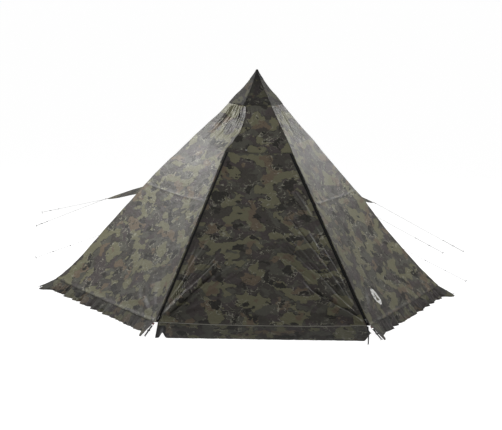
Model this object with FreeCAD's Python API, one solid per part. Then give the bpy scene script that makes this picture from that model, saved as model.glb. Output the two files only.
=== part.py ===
import FreeCAD, Part
import math
import os

# A six-sided pole tent on level ground. Millimetres, +Z up, front towards -Y.
# The origin is on the ground, under the middle of the centre pole.

V = FreeCAD.Vector

# ---- canopy
hem_radius = 2300.0          # centre to a hem corner
hem_height = 120.0           # hem corners above the ground
apex_height = 2650.0         # where the six facets would meet
cloth = 1.0                  # thickness of the cloth solids
seam_gap = 1.0               # cloth edge to the ridge line
seam_height = 1280.0         # level seam between lower and upper panels
vent_drop = 360.0            # below the apex: the cloth ends and the vent mesh starts
mesh_top_drop = 180.0        # below the apex: the vent mesh ends and the peak pocket starts

# ---- door, zips and storm flaps
door_top_height = 1780.0
zip_zone = 50.0              # ridge line to the door's edge
zip_tape_edge = 4.0          # ridge line to the near edge of the zip tape
zip_overrun = 30.0           # the zips run on above the door's top
coil_width = 6.0
coil_height = 2.4
slider_width = 15.0
slider_length = 24.0
slider_height = 7.0
slider_gap = 0.5
slider_start = 70.0          # hem to the slider's middle, up the ridge
flap_lift = 10.5             # storm flap above the facet, clear of the slider's pull
flap_short = 20.0            # storm flap's edge short of the door's edge; the zip shows beside it
flap_cloth = 1.0
flap_sewn_edge = 0.4         # ridge line to the flap's sewn edge
flap_slope_end = 7.5         # ridge line to where the flap levels out over the zip
tie_rise = 32.0              # door tie ring above the door's top
tie_side = -150.0
tie_ring_radius = 9.0
tie_ring_wire = 1.6
tie_tab_half = 6.0
tie_tab_length = 30.0

# ---- peak
cap_rim_drop = 295.0         # below the apex
cap_rim_stand_off = 24.0     # cap rim outside the canopy, at a corner
cap_waist_drop = 90.0
cap_waist_stand_off = 8.0
cap_top_rise = 14.0          # above the apex
cap_top_radius = 6.0
cap_cloth = 1.5
tip_base_drop = 66.0
tip_gap = 0.4
tip_cloth = 2.0
pocket_top_drop = 16.0
pocket_cloth = 2.0
pad_thickness = 8.0
pad_gap = 1.6                # pad's edge to the pocket's inner face
pole_top_drop = 82.0         # below the apex: top of the pole's plug

# ---- skirt
skirt_reach = 208.0          # outwards from the hem
skirt_clear = 4.0            # lower edge above the ground
skirt_notch = 80.0           # short of the corner line, for the corner strap
door_skirt_half = 985.0

# ---- vent hoods and windows
hood_reach = 890.0           # seam to the tip, measured outwards and down
hood_fall = 0.36             # how much of that reach is downwards
hood_sway = {"left": 170.0, "right": 66.0}   # the tip's place to the side, towards its line
hood_base_half = 620.0
hood_base_drop = 120.0       # base corners below the seam
hood_stand_off = 6.0
window_half = 360.0
window_low = 790.0
window_high = 1090.0
window_lap = 20.0

# ---- centre pole
pole_radius = 14.0
pole_wall = 1.2
pole_sections = 4
swage_length = 70.0
swage_gap = 0.3
swage_root = 12.0            # the swage starts this far down inside its own tube
collar_length = 8.0
collar_bite = 0.1
foot_radius = 26.0
foot_height = 34.0
foot_floor = 8.0
plug_height = 22.0
button_radius = 4.0
button_gap = 0.15
button_out = 2.6             # button beyond the outer tube

# ---- emblem
emblem_side = -579.0         # on the right front facet
emblem_height = 316.0
emblem_half = (105.0, 78.0)  # up the facet, and to the side
emblem_lift = 0.4
emblem_film = 0.5
blank_top_rise = 56.0
blank_base_drop = 44.0
blank_half_width = 40.0

# ---- lines, rings, straps and pegs
cord_radius = 1.4
cord_gap = 0.3
ring_length = 22.0           # rectangular ring, wire middle to wire middle
ring_wire = 1.8
web_width = 18.0
web_thick = 1.6
web_gap = 1.5                # webbing edge to the ring's side
peg_radius = 3.0
peg_depth = 180.0
peg_above = 20.0
hook_reach = 16.0
hook_drop = 9.0
hook_height = 12.0           # top of the hook above what it catches
tab_length = 34.0            # cloth to the ring's middle
web_lift = 7.0               # start of a guy tab off the cloth
strap_reach = 175.0          # hem corner to its peg
strap_end = 9.0              # strap beyond its peg
buckle_size = (30.0, 22.0, 7.0)
runner_size = (34.0, 16.0, 8.0)
runner_from_peg = 300.0
line_return = 600.0          # the line's tail, back from the peg
# Where each line leaves the cloth above the ground, and where its peg stands on the ground.
patch_height = {"left": 680.0, "right": 740.0}
ridge_height = {"left": 1140.0, "right": 1320.0}
line_pegs = {"left_back": (-2830, 5035), "left_hood": (-2830, 3905), "left_side": (-2655, 1660),
             "right_back": (2890, 2515), "right_hood": (3210, 2635), "right_side": (2805, 735)}
hook_strap_end = (1071.0, -2355.0, 14.0)   # middle of the loose strap's hook, on the ground
hook_strap_start = (-34.0, -4.0, -12.0)      # from the ridge's foot
hook_strap_width = 13.0

facets = {"front": 270, "right_front": 330, "right_rear": 30, "rear": 90, "left_rear": 150,
          "left_front": 210}
corners = (0, 60, 120, 180, 240, 300)

vent_height = apex_height - vent_drop
mesh_top_height = apex_height - mesh_top_drop
pole_top = apex_height - pole_top_drop
rise = apex_height - hem_height
hem_in_radius = hem_radius * math.cos(math.radians(30))
slope = math.atan2(rise, hem_in_radius)


def radial(azimuth):
    a = math.radians(azimuth)
    return V(math.cos(a), math.sin(a), 0)


def tangent(azimuth):
    return V(0, 0, 1).cross(radial(azimuth))


def facet_normal(azimuth):
    return radial(azimuth) * math.sin(slope) + V(0, 0, math.cos(slope))


def corner_radius(height):
    return hem_radius * (apex_height - height) / rise


def facet_radius(height):
    return hem_in_radius * (apex_height - height) / rise


def half_width(height):
    return corner_radius(height) / 2


def on_facet(azimuth, height, side, lift=0.0):
    """A point on a facet: its height on the facet, its place to the side, and a lift off the cloth."""
    flat = radial(azimuth) * facet_radius(height) + tangent(azimuth) * side + V(0, 0, height)
    return flat + facet_normal(azimuth) * lift


def on_ridge(azimuth, height):
    return radial(azimuth) * corner_radius(height) + V(0, 0, height)


def plate(points, push):
    """A flat polygon pushed into a solid."""
    face = Part.Face(Part.makePolygon(points + [points[0]]))
    return face.extrude(push)


def facet_plate(azimuth, outline, low, high):
    """A plate on a facet between two lifts. The outline is a list of (side, height)."""
    points = [on_facet(azimuth, height, side, low) for side, height in outline]
    return plate(points, facet_normal(azimuth) * (high - low))


def edge_margin(margin):
    """A distance square to the ridge, as a distance level across the facet."""
    half_apex = math.atan2(hem_radius / 2, math.hypot(rise, hem_in_radius))
    return margin / math.cos(half_apex)


def facet_band(low, high, margin):
    low_half = half_width(low) - edge_margin(margin)
    high_half = half_width(high) - edge_margin(margin)
    return [(-low_half, low), (low_half, low), (high_half, high), (-high_half, high)]


def cloth_panel(azimuth, low, high, margin=seam_gap):
    return facet_plate(azimuth, facet_band(low, high, margin), -cloth, 0)


def ridge_frame(corner, facet):
    """Unit vectors at a ridge: down along it, into the facet square to it, and off the facet."""
    down = (on_ridge(corner, hem_height) - on_ridge(corner, apex_height)).normalize()
    off = facet_normal(facet)
    into = off.cross(down).normalize()
    if into.dot(on_facet(facet, hem_height, 0) - on_ridge(corner, hem_height)) < 0:
        into = into * -1
    return down, into, off


def ridge_strip(corner, facet, section, low, high):
    """A section of (distance into the facet, lift) run along a ridge between two heights."""
    down, into, off = ridge_frame(corner, facet)
    top = on_ridge(corner, high)
    length = (top - on_ridge(corner, low)).Length
    return plate([top + into * x + off * y for x, y in section], down * length)


def box_section(x1, x2, y1, y2):
    return [(x1, y1), (x2, y1), (x2, y2), (x1, y2)]


def hexagon(height, radius):
    points = [radial(a) * radius + V(0, 0, height) for a in corners]
    return Part.makePolygon(points + [points[0]])


def hex_shell(rings, wall):
    """A thin six-sided shell through rings of (height, corner radius), low to high."""
    outer = Part.makeLoft([hexagon(z, r) for z, r in rings], True, True)
    reach = wall / math.sin(slope) / math.cos(math.radians(30))
    inner_rings = [(z, max(r - reach, 0.4)) for z, r in rings]
    first, last = inner_rings[0], inner_rings[-1]
    inner_rings[0] = (first[0] - 0.01, first[1])
    inner_rings[-1] = (last[0] + 0.01, last[1])
    return outer.cut(Part.makeLoft([hexagon(z, r) for z, r in inner_rings], True, True))


def gore(azimuth, low, high, wall):
    """One flat gore of a six-sided cap between two rings of (height, corner radius)."""
    points = []
    for side, (height, radius) in ((-1, low), (1, low), (1, high), (-1, high)):
        middle = radial(azimuth) * (radius * math.cos(math.radians(30))) + V(0, 0, height)
        points.append(middle + tangent(azimuth) * (side * (radius / 2 - seam_gap)))
    inward = (points[1] - points[0]).cross(points[2] - points[1]).normalize()
    if inward.dot(radial(azimuth)) > 0:
        inward = inward * -1
    inset = (points[3] - points[0]).normalize() * (seam_gap / 2)
    points = [points[0] + inset, points[1] + inset, points[2] - inset, points[3] - inset]
    return plate(points, inward * wall)


def rod(start, end, radius):
    return Part.makeCylinder(radius, (end - start).Length, start, end - start)


def bent_rod(points, radius, bends):
    """A round rod along straight runs, with an arc of the given radius at each inner point."""
    edges = []
    last = points[0]
    for before, corner, after, bend in zip(points, points[1:], points[2:], bends):
        back = (before - corner).normalize()
        on = (after - corner).normalize()
        half = back.getAngle(on) / 2
        cut = bend / math.tan(half)
        middle_way = (back + on).normalize()
        middle = corner + middle_way * (bend / math.sin(half) - bend)
        start, end = corner + back * cut, corner + on * cut
        if (start - last).Length > 1e-6:
            edges.append(Part.LineSegment(last, start).toShape())
        edges.append(Part.Arc(start, middle, end).toShape())
        last = end
    edges.append(Part.LineSegment(last, points[-1]).toShape())
    path = Part.Wire(edges)
    first_way = (points[1] - points[0]).normalize()
    ring = Part.Wire(Part.makeCircle(radius, points[0], first_way))
    return path.makePipeShell([ring], True, True)


def block(middle, first, second, size):
    """A box about its middle. Its sides lie along two square directions and their cross product."""
    third = first.cross(second)
    low = middle - first * (size[0] / 2) - second * (size[1] / 2) - third * (size[2] / 2)
    corners_of_base = [low, low + first * size[0], low + first * size[0] + second * size[1],
                       low + second * size[1]]
    return plate(corners_of_base, third * size[2])


def web_tab(start, ring_centre, across, width=web_width):
    """Flat webbing from a start point that loops round the near wire of a ring."""
    way = (ring_centre - start).normalize()
    normal = way.cross(across).normalize()
    eye = ring_centre - way * (ring_length / 2)
    inner = ring_wire + cord_gap
    outer = inner + web_thick
    side = across.normalize() * width
    back = side * -0.5
    loop = Part.makeCylinder(outer, width, eye + back, across)
    strip = plate([start + back + normal * (web_thick / 2), eye + back + normal * (web_thick / 2),
                   eye + back - normal * (web_thick / 2), start + back - normal * (web_thick / 2)], side)
    tab = loop.fuse(strip)
    hole = Part.makeCylinder(inner, width + 2, eye + back - across.normalize(), across)
    return tab.cut(hole)


def ring_on(centre, way, across):
    """A rectangular wire ring with round corners, made of two matching halves."""
    half_wide = web_width / 2 + web_gap + ring_wire
    bend = 4.0
    halves = []
    for turn in (-1, 1):
        side = across * (half_wide * turn)
        end = way * (ring_length / 2)
        points = [centre - end, centre - end + side, centre + end + side, centre + end]
        halves.append(bent_rod(points, ring_wire, [bend, bend]))
    return halves[0].fuse(halves[1])


def peg(catch, lean):
    """A wire peg. Catch is where it holds its load, and lean points up along its shaft."""
    away = V(lean.x, lean.y, 0).normalize()
    hook_way = away.cross(lean).cross(lean).normalize() * -1
    top = catch + lean * hook_height
    turn = top + hook_way * hook_reach
    points = [catch - lean * (peg_above + peg_depth), top, turn, turn - lean * hook_drop]
    bend = hook_reach * 0.42
    return bent_rod(points, peg_radius, [bend, bend])


def make_canopy():
    parts = {}
    for name, azimuth in facets.items():
        if name == "front":
            continue
        parts[name + "_lower_panel"] = cloth_panel(azimuth, hem_height, seam_height - 1)
        parts[name + "_upper_panel"] = cloth_panel(azimuth, seam_height, vent_height)
    nets = []
    for side in ("left", "right"):
        azimuth = facets[side + "_rear"]
        hole = [(-window_half, window_low), (window_half, window_low),
                (window_half, window_high), (-window_half, window_high)]
        key = side + "_rear_lower_panel"
        parts[key] = parts[key].cut(facet_plate(azimuth, hole, -20, 20))
        half = window_half + window_lap
        lap = window_lap * math.sin(slope)
        net = [(-half, window_low - lap), (half, window_low - lap),
               (half, window_high + lap), (-half, window_high + lap)]
        nets.append(facet_plate(azimuth, net, -cloth - 1.1, -cloth - 0.3))
    parts["window_meshes"] = Part.makeCompound(nets)
    return parts


def make_front():
    azimuth = facets["front"]
    parts = {
        "front_upper_panel": cloth_panel(azimuth, door_top_height + 3, vent_height),
        "door_panel": cloth_panel(azimuth, hem_height, door_top_height, zip_zone),
    }
    zip_top = door_top_height - 6
    middle = zip_zone / 2
    coil = box_section(middle - coil_width / 2, middle + coil_width / 2, -0.2, coil_height)
    tape = box_section(zip_tape_edge, zip_zone - 2, -cloth, 0)
    wide = slider_width / 2
    slot = coil_width / 2 + slider_gap
    roof = coil_height + slider_gap
    slider = [(middle - wide, 0.3), (middle - slot, 0.3), (middle - slot, roof), (middle + slot, roof),
              (middle + slot, 0.3), (middle + wide, 0.3), (middle + wide, slider_height),
              (middle - wide, slider_height)]
    pull = box_section(middle - 4, middle + 4, slider_height, slider_height + 1.6)
    reach = zip_zone - flap_short
    top = flap_lift + flap_cloth
    flap = [(flap_sewn_edge + 0.6, 1.5), (flap_slope_end + 0.5, flap_lift), (reach, flap_lift),
            (reach, top), (flap_slope_end, top), (flap_sewn_edge, 2.4)]
    along = math.hypot(hem_radius, rise) / rise
    low = hem_height + slider_start / along
    span = slider_length / along / 2
    for side, corner in (("left", 240), ("right", 300)):
        strip = ridge_strip(corner, azimuth, tape, hem_height, zip_top)
        parts[side + "_zip"] = strip.fuse(ridge_strip(corner, azimuth, coil, hem_height, zip_top))
        body = ridge_strip(corner, azimuth, slider, low - span, low + span)
        parts[side + "_zip_slider"] = body.fuse(
            ridge_strip(corner, azimuth, pull, low - span * 3.4, low + span * 0.4))
        parts[side + "_storm_flap"] = ridge_strip(corner, azimuth, flap, hem_height + 4,
                                                  zip_top + zip_overrun)
    tie_height = door_top_height + tie_rise
    lift = tie_ring_wire + 1
    centre = on_facet(azimuth, tie_height, tie_side, lift)
    parts["door_tie_ring"] = Part.makeTorus(tie_ring_radius, tie_ring_wire, centre, facet_normal(azimuth))
    near, far = tie_side - tie_tab_half, tie_side + tie_tab_half
    low, high = tie_height + 4, tie_height + 4 + tie_tab_length
    outline = [(near, low), (far, low), (far, high), (near, high)]
    parts["door_tie_tab"] = facet_plate(azimuth, outline, lift + 2, lift + 3.2)
    return parts


def make_peak():
    def canopy(height, out=0.0):
        return (height, corner_radius(height) + out)
    parts = {"vent_mesh": hex_shell([canopy(vent_height + 1, -1), canopy(mesh_top_height, -1)], cloth),
             "peak_pocket": hex_shell([canopy(mesh_top_height + 1), canopy(apex_height - pocket_top_drop)],
                                      pocket_cloth)}
    rim = canopy(apex_height - cap_rim_drop, cap_rim_stand_off)
    waist = canopy(apex_height - cap_waist_drop, cap_waist_stand_off)
    top = (apex_height + cap_top_rise, cap_top_radius)
    gores = [gore(azimuth, low, high, cap_cloth) for azimuth in facets.values()
             for low, high in ((rim, waist), (waist, top))]
    parts["peak_cap"] = Part.makeCompound(gores)
    share = (cap_waist_drop - tip_base_drop) / (cap_waist_drop + cap_top_rise)
    base = (apex_height - tip_base_drop, waist[1] + (top[1] - waist[1]) * share)
    wall = tip_gap + tip_cloth
    tip = Part.makeLoft([hexagon(base[0], base[1] + wall), hexagon(top[0] + wall, top[1] + wall)], True, True)
    hollow = Part.makeLoft([hexagon(base[0] - 0.01, base[1] + tip_gap),
                            hexagon(top[0] + tip_gap, top[1] + tip_gap)], True, True)
    parts["peak_tip"] = tip.cut(hollow)
    pad_low = pole_top + 1.0
    reach = (pocket_cloth + pad_gap) / math.sin(slope) / math.cos(math.radians(30))
    pad_rings = [(z, corner_radius(z) - reach) for z in (pad_low, pad_low + pad_thickness)]
    parts["peak_pad"] = Part.makeLoft([hexagon(z, r) for z, r in pad_rings], True, True)
    return parts


def make_pole():
    parts = {}
    tube_low = foot_floor
    tube_high = pole_top - plug_height * 0.5
    length = (tube_high - tube_low) / pole_sections
    bore = pole_radius - pole_wall
    swage = bore - swage_gap
    for number in range(pole_sections):
        low = tube_low + number * length
        high = low + length
        tube = Part.makeCylinder(pole_radius, length, V(0, 0, low))
        tube = tube.cut(Part.makeCylinder(bore, length, V(0, 0, low)))
        if number < pole_sections - 1:
            root = V(0, 0, high - swage_root)
            neck = Part.makeCylinder(swage, swage_length + swage_root, root)
            neck = neck.cut(Part.makeCylinder(swage - pole_wall, swage_length + swage_root, root))
            collar = Part.makeCylinder(pole_radius - collar_bite, collar_length, root)
            collar = collar.cut(Part.makeCylinder(swage - pole_wall, collar_length, root))
            tube = tube.fuse(collar).fuse(neck)
            tube = tube.cut(button_bore(high + swage_length / 2))
        if number > 0:
            tube = tube.cut(button_bore(low + swage_length / 2))
        parts["pole_section_%d" % (number + 1)] = tube
        if number > 0:
            parts["pole_button_%d" % number] = pole_button(low + swage_length / 2)
    foot = Part.makeCone(foot_radius, pole_radius + 5, foot_height, V(0, 0, 0))
    parts["pole_foot"] = foot.cut(Part.makeCylinder(pole_radius + 0.1, foot_height, V(0, 0, foot_floor)))
    plug = Part.makeCylinder(bore - 0.1, plug_height, V(0, 0, tube_high - plug_height))
    head_low = tube_high + 0.1
    plug = plug.fuse(Part.makeCylinder(bore - 0.1, 0.2, V(0, 0, tube_high - 0.05)))
    plug = plug.fuse(Part.makeCylinder(pole_radius, pole_top - head_low, V(0, 0, head_low)))
    parts["pole_plug"] = plug
    return parts


def button_bore(height):
    return Part.makeCylinder(button_radius + button_gap, pole_radius + 2, V(0, 0, height), V(0, -1, 0))


def pole_button(height):
    """A round snap button that stands out of the pole's front, with a flange inside."""
    swage_bore = pole_radius - pole_wall - swage_gap - pole_wall
    flange_radius = button_radius + 1.0
    flange_out = math.sqrt((swage_bore - 0.3) ** 2 - flange_radius ** 2)
    pin = Part.makeCylinder(button_radius, pole_radius + button_out - flange_out + 1,
                            V(0, -flange_out + 1, height), V(0, -1, 0))
    flange = Part.makeCylinder(flange_radius, 1.4, V(0, -flange_out + 1.4, height), V(0, -1, 0))
    return pin.fuse(flange)


def make_skirts():
    door, fixed = None, []
    top_radius = hem_in_radius + 1.2
    top_height = hem_height - 2.0
    low_radius = hem_in_radius + skirt_reach
    for name, azimuth in facets.items():
        if name == "front":
            top_half = half_width(hem_height) - edge_margin(zip_zone) - 6
            low_half = door_skirt_half
        else:
            top_half = half_width(hem_height) - 30
            low_half = low_radius * math.tan(math.radians(30)) - skirt_notch
        out, side = radial(azimuth), tangent(azimuth)
        points = [out * top_radius - side * top_half + V(0, 0, top_height),
                  out * top_radius + side * top_half + V(0, 0, top_height),
                  out * low_radius + side * low_half + V(0, 0, skirt_clear),
                  out * low_radius - side * low_half + V(0, 0, skirt_clear)]
        push = (points[1] - points[0]).cross(points[2] - points[1]).normalize() * cloth
        if push.z > 0:
            push = push * -1
        skirt = plate(points, push)
        if name == "front":
            door = skirt
        else:
            fixed.append(skirt)
    return {"door_skirt": door, "skirts": Part.makeCompound(fixed)}


def hood_tip(side):
    """The outer tip of a vent hood: pulled out, down and a little to the side."""
    azimuth = facets[side + "_rear"]
    drop = hood_reach * hood_fall
    out = math.sqrt(hood_reach ** 2 - drop ** 2)
    point = radial(azimuth) * (facet_radius(seam_height) + out) + tangent(azimuth) * hood_sway[side]
    return point + V(0, 0, seam_height - drop)


def make_hoods():
    """Each hood is two cloth wings that meet at a fold from the seam's middle to the tip."""
    parts = {}
    for side in ("left", "right"):
        azimuth = facets[side + "_rear"]
        tip = hood_tip(side)
        top = on_facet(azimuth, seam_height - 12, 0, hood_stand_off)
        low = seam_height - hood_base_drop
        wings = []
        for way in (-1, 1):
            base = on_facet(azimuth, low, way * hood_base_half, hood_stand_off)
            push = (base - top).cross(tip - top).normalize() * cloth
            if push.z > 0:
                push = push * -1
            inset = (base - top).normalize() * (seam_gap * 1.5)
            wings.append(plate([top + inset, base, tip + inset], push))
        parts[side + "_vent_hood"] = Part.makeCompound(wings)
    return parts


def guy_lines():
    """Each line's name, where its webbing starts on the cloth, and its peg on the ground."""
    lines = []
    for side, rear_corner in (("left", 120), ("right", 60)):
        ridge = on_ridge(rear_corner, ridge_height[side]) + radial(rear_corner) * web_lift
        patch = on_facet(facets[side + "_rear"], patch_height[side], 0, web_lift)
        tip = hood_tip(side) + radial(facets[side + "_rear"]) * web_lift
        for place, anchor in (("back", ridge), ("hood", tip), ("side", patch)):
            name = side + "_" + place
            lines.append((name, anchor, V(*line_pegs[name], 0)))
    return lines


def pull(start, ground):
    """A pull from the cloth to a peg: way along it, across it, the peg's lean, ring and catch."""
    way = (ground + V(0, 0, peg_above) - start).normalize()
    across = V(0, 0, 1).cross(way).normalize()
    centre = start + way * tab_length
    lean = way.cross(across).normalize()
    catch = ground + lean * peg_above
    way = (catch - centre).normalize()
    return way, across, way.cross(across).normalize(), centre, catch


def make_guy_lines():
    """The lines with their runners, and lists of their pegs, rings and tabs."""
    parts = {}
    pegs, rings, tabs = [], [], []
    for name, anchor, ground in guy_lines():
        way, across, lean, centre, catch = pull(anchor, ground)
        turn = peg_radius + cord_radius + cord_gap
        begin = centre + way * (ring_length / 2 + ring_wire + 0.1)
        down_side, back_side = across * turn, across * -turn
        # The main run is level with the ring's middle, and bends gently to pass beside the peg.
        beside = catch - way * (line_return + 80) + down_side
        past = catch + way * turn
        far = [past + down_side, past + back_side]
        tail = catch - way * line_return + back_side
        points = [begin, beside, far[0], far[1], tail]
        parts[name + "_line"] = bent_rod(points, cord_radius, [4000.0, turn * 0.999, turn * 0.999])
        middle = catch - way * runner_from_peg
        body = block(middle, across, way, runner_size)
        for side in (down_side, back_side):
            body = body.cut(rod(middle + side - way * 20, middle + side + way * 20, cord_radius + cord_gap))
        parts[name + "_runner"] = body
        pegs.append(peg(catch, lean))
        rings.append(ring_on(centre, way, across))
        tabs.append(web_tab(anchor, centre, across))
    parts["guy_tabs"] = Part.makeCompound(tabs)
    return parts, pegs, rings


def make_corners():
    """The hem corners' webbing and tapes, and lists of their pegs, rings and straps."""
    loops, rings, straps, buckles, pegs, tapes = [], [], [], [], [], []
    for azimuth in corners:
        start = radial(azimuth) * (hem_radius + 3) + V(0, 0, hem_height - 6)
        way, across, lean, centre, catch = pull(start, radial(azimuth) * (hem_radius + strap_reach))
        loops.append(web_tab(start, centre, across))
        rings.append(ring_on(centre, way, across))
        strap = web_tab(catch + way * strap_end, centre, across)
        strap = strap.cut(rod(catch - lean * 30, catch + lean * 30, peg_radius + cord_gap))
        straps.append(strap)
        middle = (centre + catch) * 0.5
        slot = block(middle, across, way, (web_width + 1, buckle_size[1] * 2, web_thick + 0.8))
        buckles.append(block(middle, across, way, buckle_size).cut(slot))
        pegs.append(peg(catch, lean))
        tapes.append(seam_tape(azimuth))
    parts = {"corner_loops": Part.makeCompound(loops), "strap_buckles": Part.makeCompound(buckles),
             "ridge_tapes": Part.makeCompound(tapes)}
    return parts, pegs, rings, straps


def make_hook_strap():
    """A loose strap at the front right corner, sewn beside the corner loop, and its wire hook."""
    start = on_ridge(300, hem_height) + V(*hook_strap_start)
    end = V(*hook_strap_end)
    way = (end - start).normalize()
    across = V(0, 0, 1).cross(way).normalize()
    up = way.cross(across)
    strap = web_tab(start, end, across, hook_strap_width)
    eye = end - way * (ring_length / 2)
    side = across * (hook_strap_width / 2 + 3)
    out = way * hook_reach
    points = [eye - side, eye + side, eye + side + out, eye - side + out, eye - side + out + up * 8]
    return strap, bent_rod(points, ring_wire, [4.0, 6.0, 3.0])


def make_ground_gear():
    """The hem corners and guy lines. All pegs share a node, and so do the wire rings and the hook."""
    line_parts, line_pegs, line_rings = make_guy_lines()
    corner_parts, corner_pegs, corner_rings, straps = make_corners()
    strap, hook = make_hook_strap()
    parts = {**line_parts, **corner_parts}
    parts["corner_straps"] = Part.makeCompound(straps + [strap])
    parts["pegs"] = Part.makeCompound(line_pegs + corner_pegs)
    parts["wire_rings"] = Part.makeCompound(line_rings + corner_rings + [hook])
    return parts


def seam_tape(azimuth):
    """A folded tape inside a ridge, just under the cloth."""
    gap, thick, wide = cloth + 0.4, 0.6, 14.0
    down = (on_ridge(azimuth, hem_height) - on_ridge(azimuth, apex_height)).normalize()
    side = tangent(azimuth)
    off = side.cross(down).normalize()
    if off.z < 0:
        off = off * -1
    normal = facet_normal(azimuth + 30)
    lean = math.acos(min(1.0, normal.dot(off)))
    high, low = vent_height - 20, hem_height + 30
    top = on_ridge(azimuth, high)
    length = (top - on_ridge(azimuth, low)).Length
    near, far = gap / math.cos(lean), (gap + thick) / math.cos(lean)
    fall = wide * math.tan(lean)
    section = [(0, -near), (wide, -near - fall), (wide, -far - fall), (0, -far), (-wide, -far - fall),
               (-wide, -near - fall)]
    return plate([top + side * x + off * y for x, y in section], down * length)


def make_emblem():
    """A plain oval print with a blank triangle, on the right front facet."""
    azimuth = facets["right_front"]
    centre = on_facet(azimuth, emblem_height, emblem_side, emblem_lift)
    up = facet_normal(azimuth).cross(tangent(azimuth)).normalize()
    if up.z < 0:
        up = up * -1
    tall, wide = emblem_half
    oval = Part.Ellipse(centre + up * tall, centre + tangent(azimuth) * wide, centre).toShape()
    print_face = Part.Face(Part.Wire(oval)).extrude(facet_normal(azimuth) * emblem_film)
    half, base = blank_half_width, up * blank_base_drop
    blank = [centre + up * blank_top_rise, centre + tangent(azimuth) * half - base,
             centre - tangent(azimuth) * half - base]
    blank = [point - facet_normal(azimuth) for point in blank]
    return {"emblem": print_face.cut(plate(blank, facet_normal(azimuth) * 3))}


def main():
    os.makedirs("parts", exist_ok=True)
    parts = {}
    for make in (make_canopy, make_front, make_peak, make_pole, make_skirts, make_hoods,
                 make_ground_gear, make_emblem):
        parts.update(make())
    for name, shape in parts.items():
        print(name, len(shape.Solids), round(shape.Volume), shape.isValid())
        shape.exportStep("parts/%s.step" % name)
    print(len(parts), "nodes")


main()
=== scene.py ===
import math

import bmesh
import bpy
from mathutils import Matrix, Vector, noise


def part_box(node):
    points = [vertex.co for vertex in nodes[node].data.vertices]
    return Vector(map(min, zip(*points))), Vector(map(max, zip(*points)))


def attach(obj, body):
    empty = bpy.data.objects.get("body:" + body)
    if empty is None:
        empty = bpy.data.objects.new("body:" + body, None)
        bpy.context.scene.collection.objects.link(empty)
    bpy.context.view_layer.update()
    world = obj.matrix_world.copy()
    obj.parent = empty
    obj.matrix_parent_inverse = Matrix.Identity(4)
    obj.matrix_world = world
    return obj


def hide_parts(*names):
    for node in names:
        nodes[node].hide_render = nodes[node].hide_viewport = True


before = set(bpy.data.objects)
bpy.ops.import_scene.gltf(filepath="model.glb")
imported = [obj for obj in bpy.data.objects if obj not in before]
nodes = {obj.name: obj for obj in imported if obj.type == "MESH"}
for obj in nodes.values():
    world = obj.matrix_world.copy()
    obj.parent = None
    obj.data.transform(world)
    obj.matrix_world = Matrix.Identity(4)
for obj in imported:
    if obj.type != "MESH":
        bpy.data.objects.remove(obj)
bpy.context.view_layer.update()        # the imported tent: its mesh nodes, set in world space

upWay = Vector((0, 0, 1))
print("frame loaded:", len(nodes), "nodes")


# the tent's shape: six facets, each ridge and panel with its own slack

tent = {
    "hemRadius": 2.3,
    "apex": 2.65,
    "hem": 0.12,
    "vent": 2.29,                 # the cloth ends here, under the cap
    "seam": 1.28,                 # level seam between lower and upper panels
    "doorTop": 1.782,
    # how far each ridge hangs in from a straight line, from the vent down to the hem
    "ridgeSlack": {
        0: ((0.12, 0.0), (0.19, 0.009), (0.26, 0.018), (0.37, 0.031), (0.65, 0.040), (0.83, 0.043),
            (0.97, 0.033), (1.07, 0.026), (1.18, 0.015), (1.32, 0.022), (1.71, 0.025), (1.87, 0.019),
            (2.03, 0.027), (2.30, 0.024)),
        60: ((0.12, 0.0), (1.2, 0.004), (1.9, 0.004), (2.2, 0.022), (2.30, 0.022)),
        120: ((0.12, 0.0), (1.2, 0.004), (1.9, 0.004), (2.2, 0.022), (2.30, 0.022)),
        180: ((0.12, 0.0), (0.20, 0.015), (0.31, 0.027), (0.42, 0.029), (0.60, 0.017), (0.78, 0.005),
              (1.03, -0.006), (1.28, -0.018), (1.40, -0.022), (1.54, -0.018), (1.68, -0.006), (1.85, 0.0),
              (2.01, 0.012), (2.17, 0.026), (2.30, 0.024)),
        240: ((0.12, 0.0), (0.5, 0.010), (1.3, 0.012), (1.9, 0.008), (2.2, 0.020), (2.30, 0.020)),
        300: ((0.12, 0.0), (0.5, 0.008), (1.3, 0.008), (1.9, 0.008), (2.2, 0.020), (2.30, 0.020))},
    "panelSlack": {"front": 0.030, "right_front": 0.046, "right_rear": 0.024, "rear": 0.045,
                   "left_rear": 0.024, "left_front": 0.046},
    "hemDrop": {"front": 0.024, "right_front": 0.006, "right_rear": 0.012, "rear": 0.014,
                "left_rear": 0.012, "left_front": 0.006},
    "crestShift": ((1.78, 0.0), (1.9, 0.055), (2.0, 0.085), (2.12, 0.075), (2.29, 0.03)),
    "lap": 0.012,                 # the level seam's overlap
    "clothThick": 0.0007,
}
facets = {"right_front": 330, "right_rear": 30, "rear": 90, "left_rear": 150, "left_front": 210, "front": 270}
facetSeed = {name: 3.7 + 11.3 * number for number, name in enumerate(facets)}
riseOfTent = tent["apex"] - tent["hem"]
inRadius = tent["hemRadius"] * math.cos(math.radians(30))
facetSlope = math.atan2(riseOfTent, inRadius)
ridgeSlope = math.atan2(riseOfTent, tent["hemRadius"])
squareToRidge = 1 / math.cos(math.atan2(tent["hemRadius"] / 2, math.hypot(riseOfTent, inRadius)))


def radial(degrees):
    a = math.radians(degrees)
    return Vector((math.cos(a), math.sin(a), 0))


def tangent(degrees):
    return upWay.cross(radial(degrees))


def facetNormal(name):
    return radial(facets[name]) * math.sin(facetSlope) + upWay * math.cos(facetSlope)


def cornerRadius(z):
    return tent["hemRadius"] * (tent["apex"] - z) / riseOfTent


def halfWidth(z):
    return cornerRadius(z) / 2


def smooth(low, high, value):
    t = min(1.0, max(0.0, (value - low) / (high - low)))
    return t * t * (3 - 2 * t)


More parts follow.
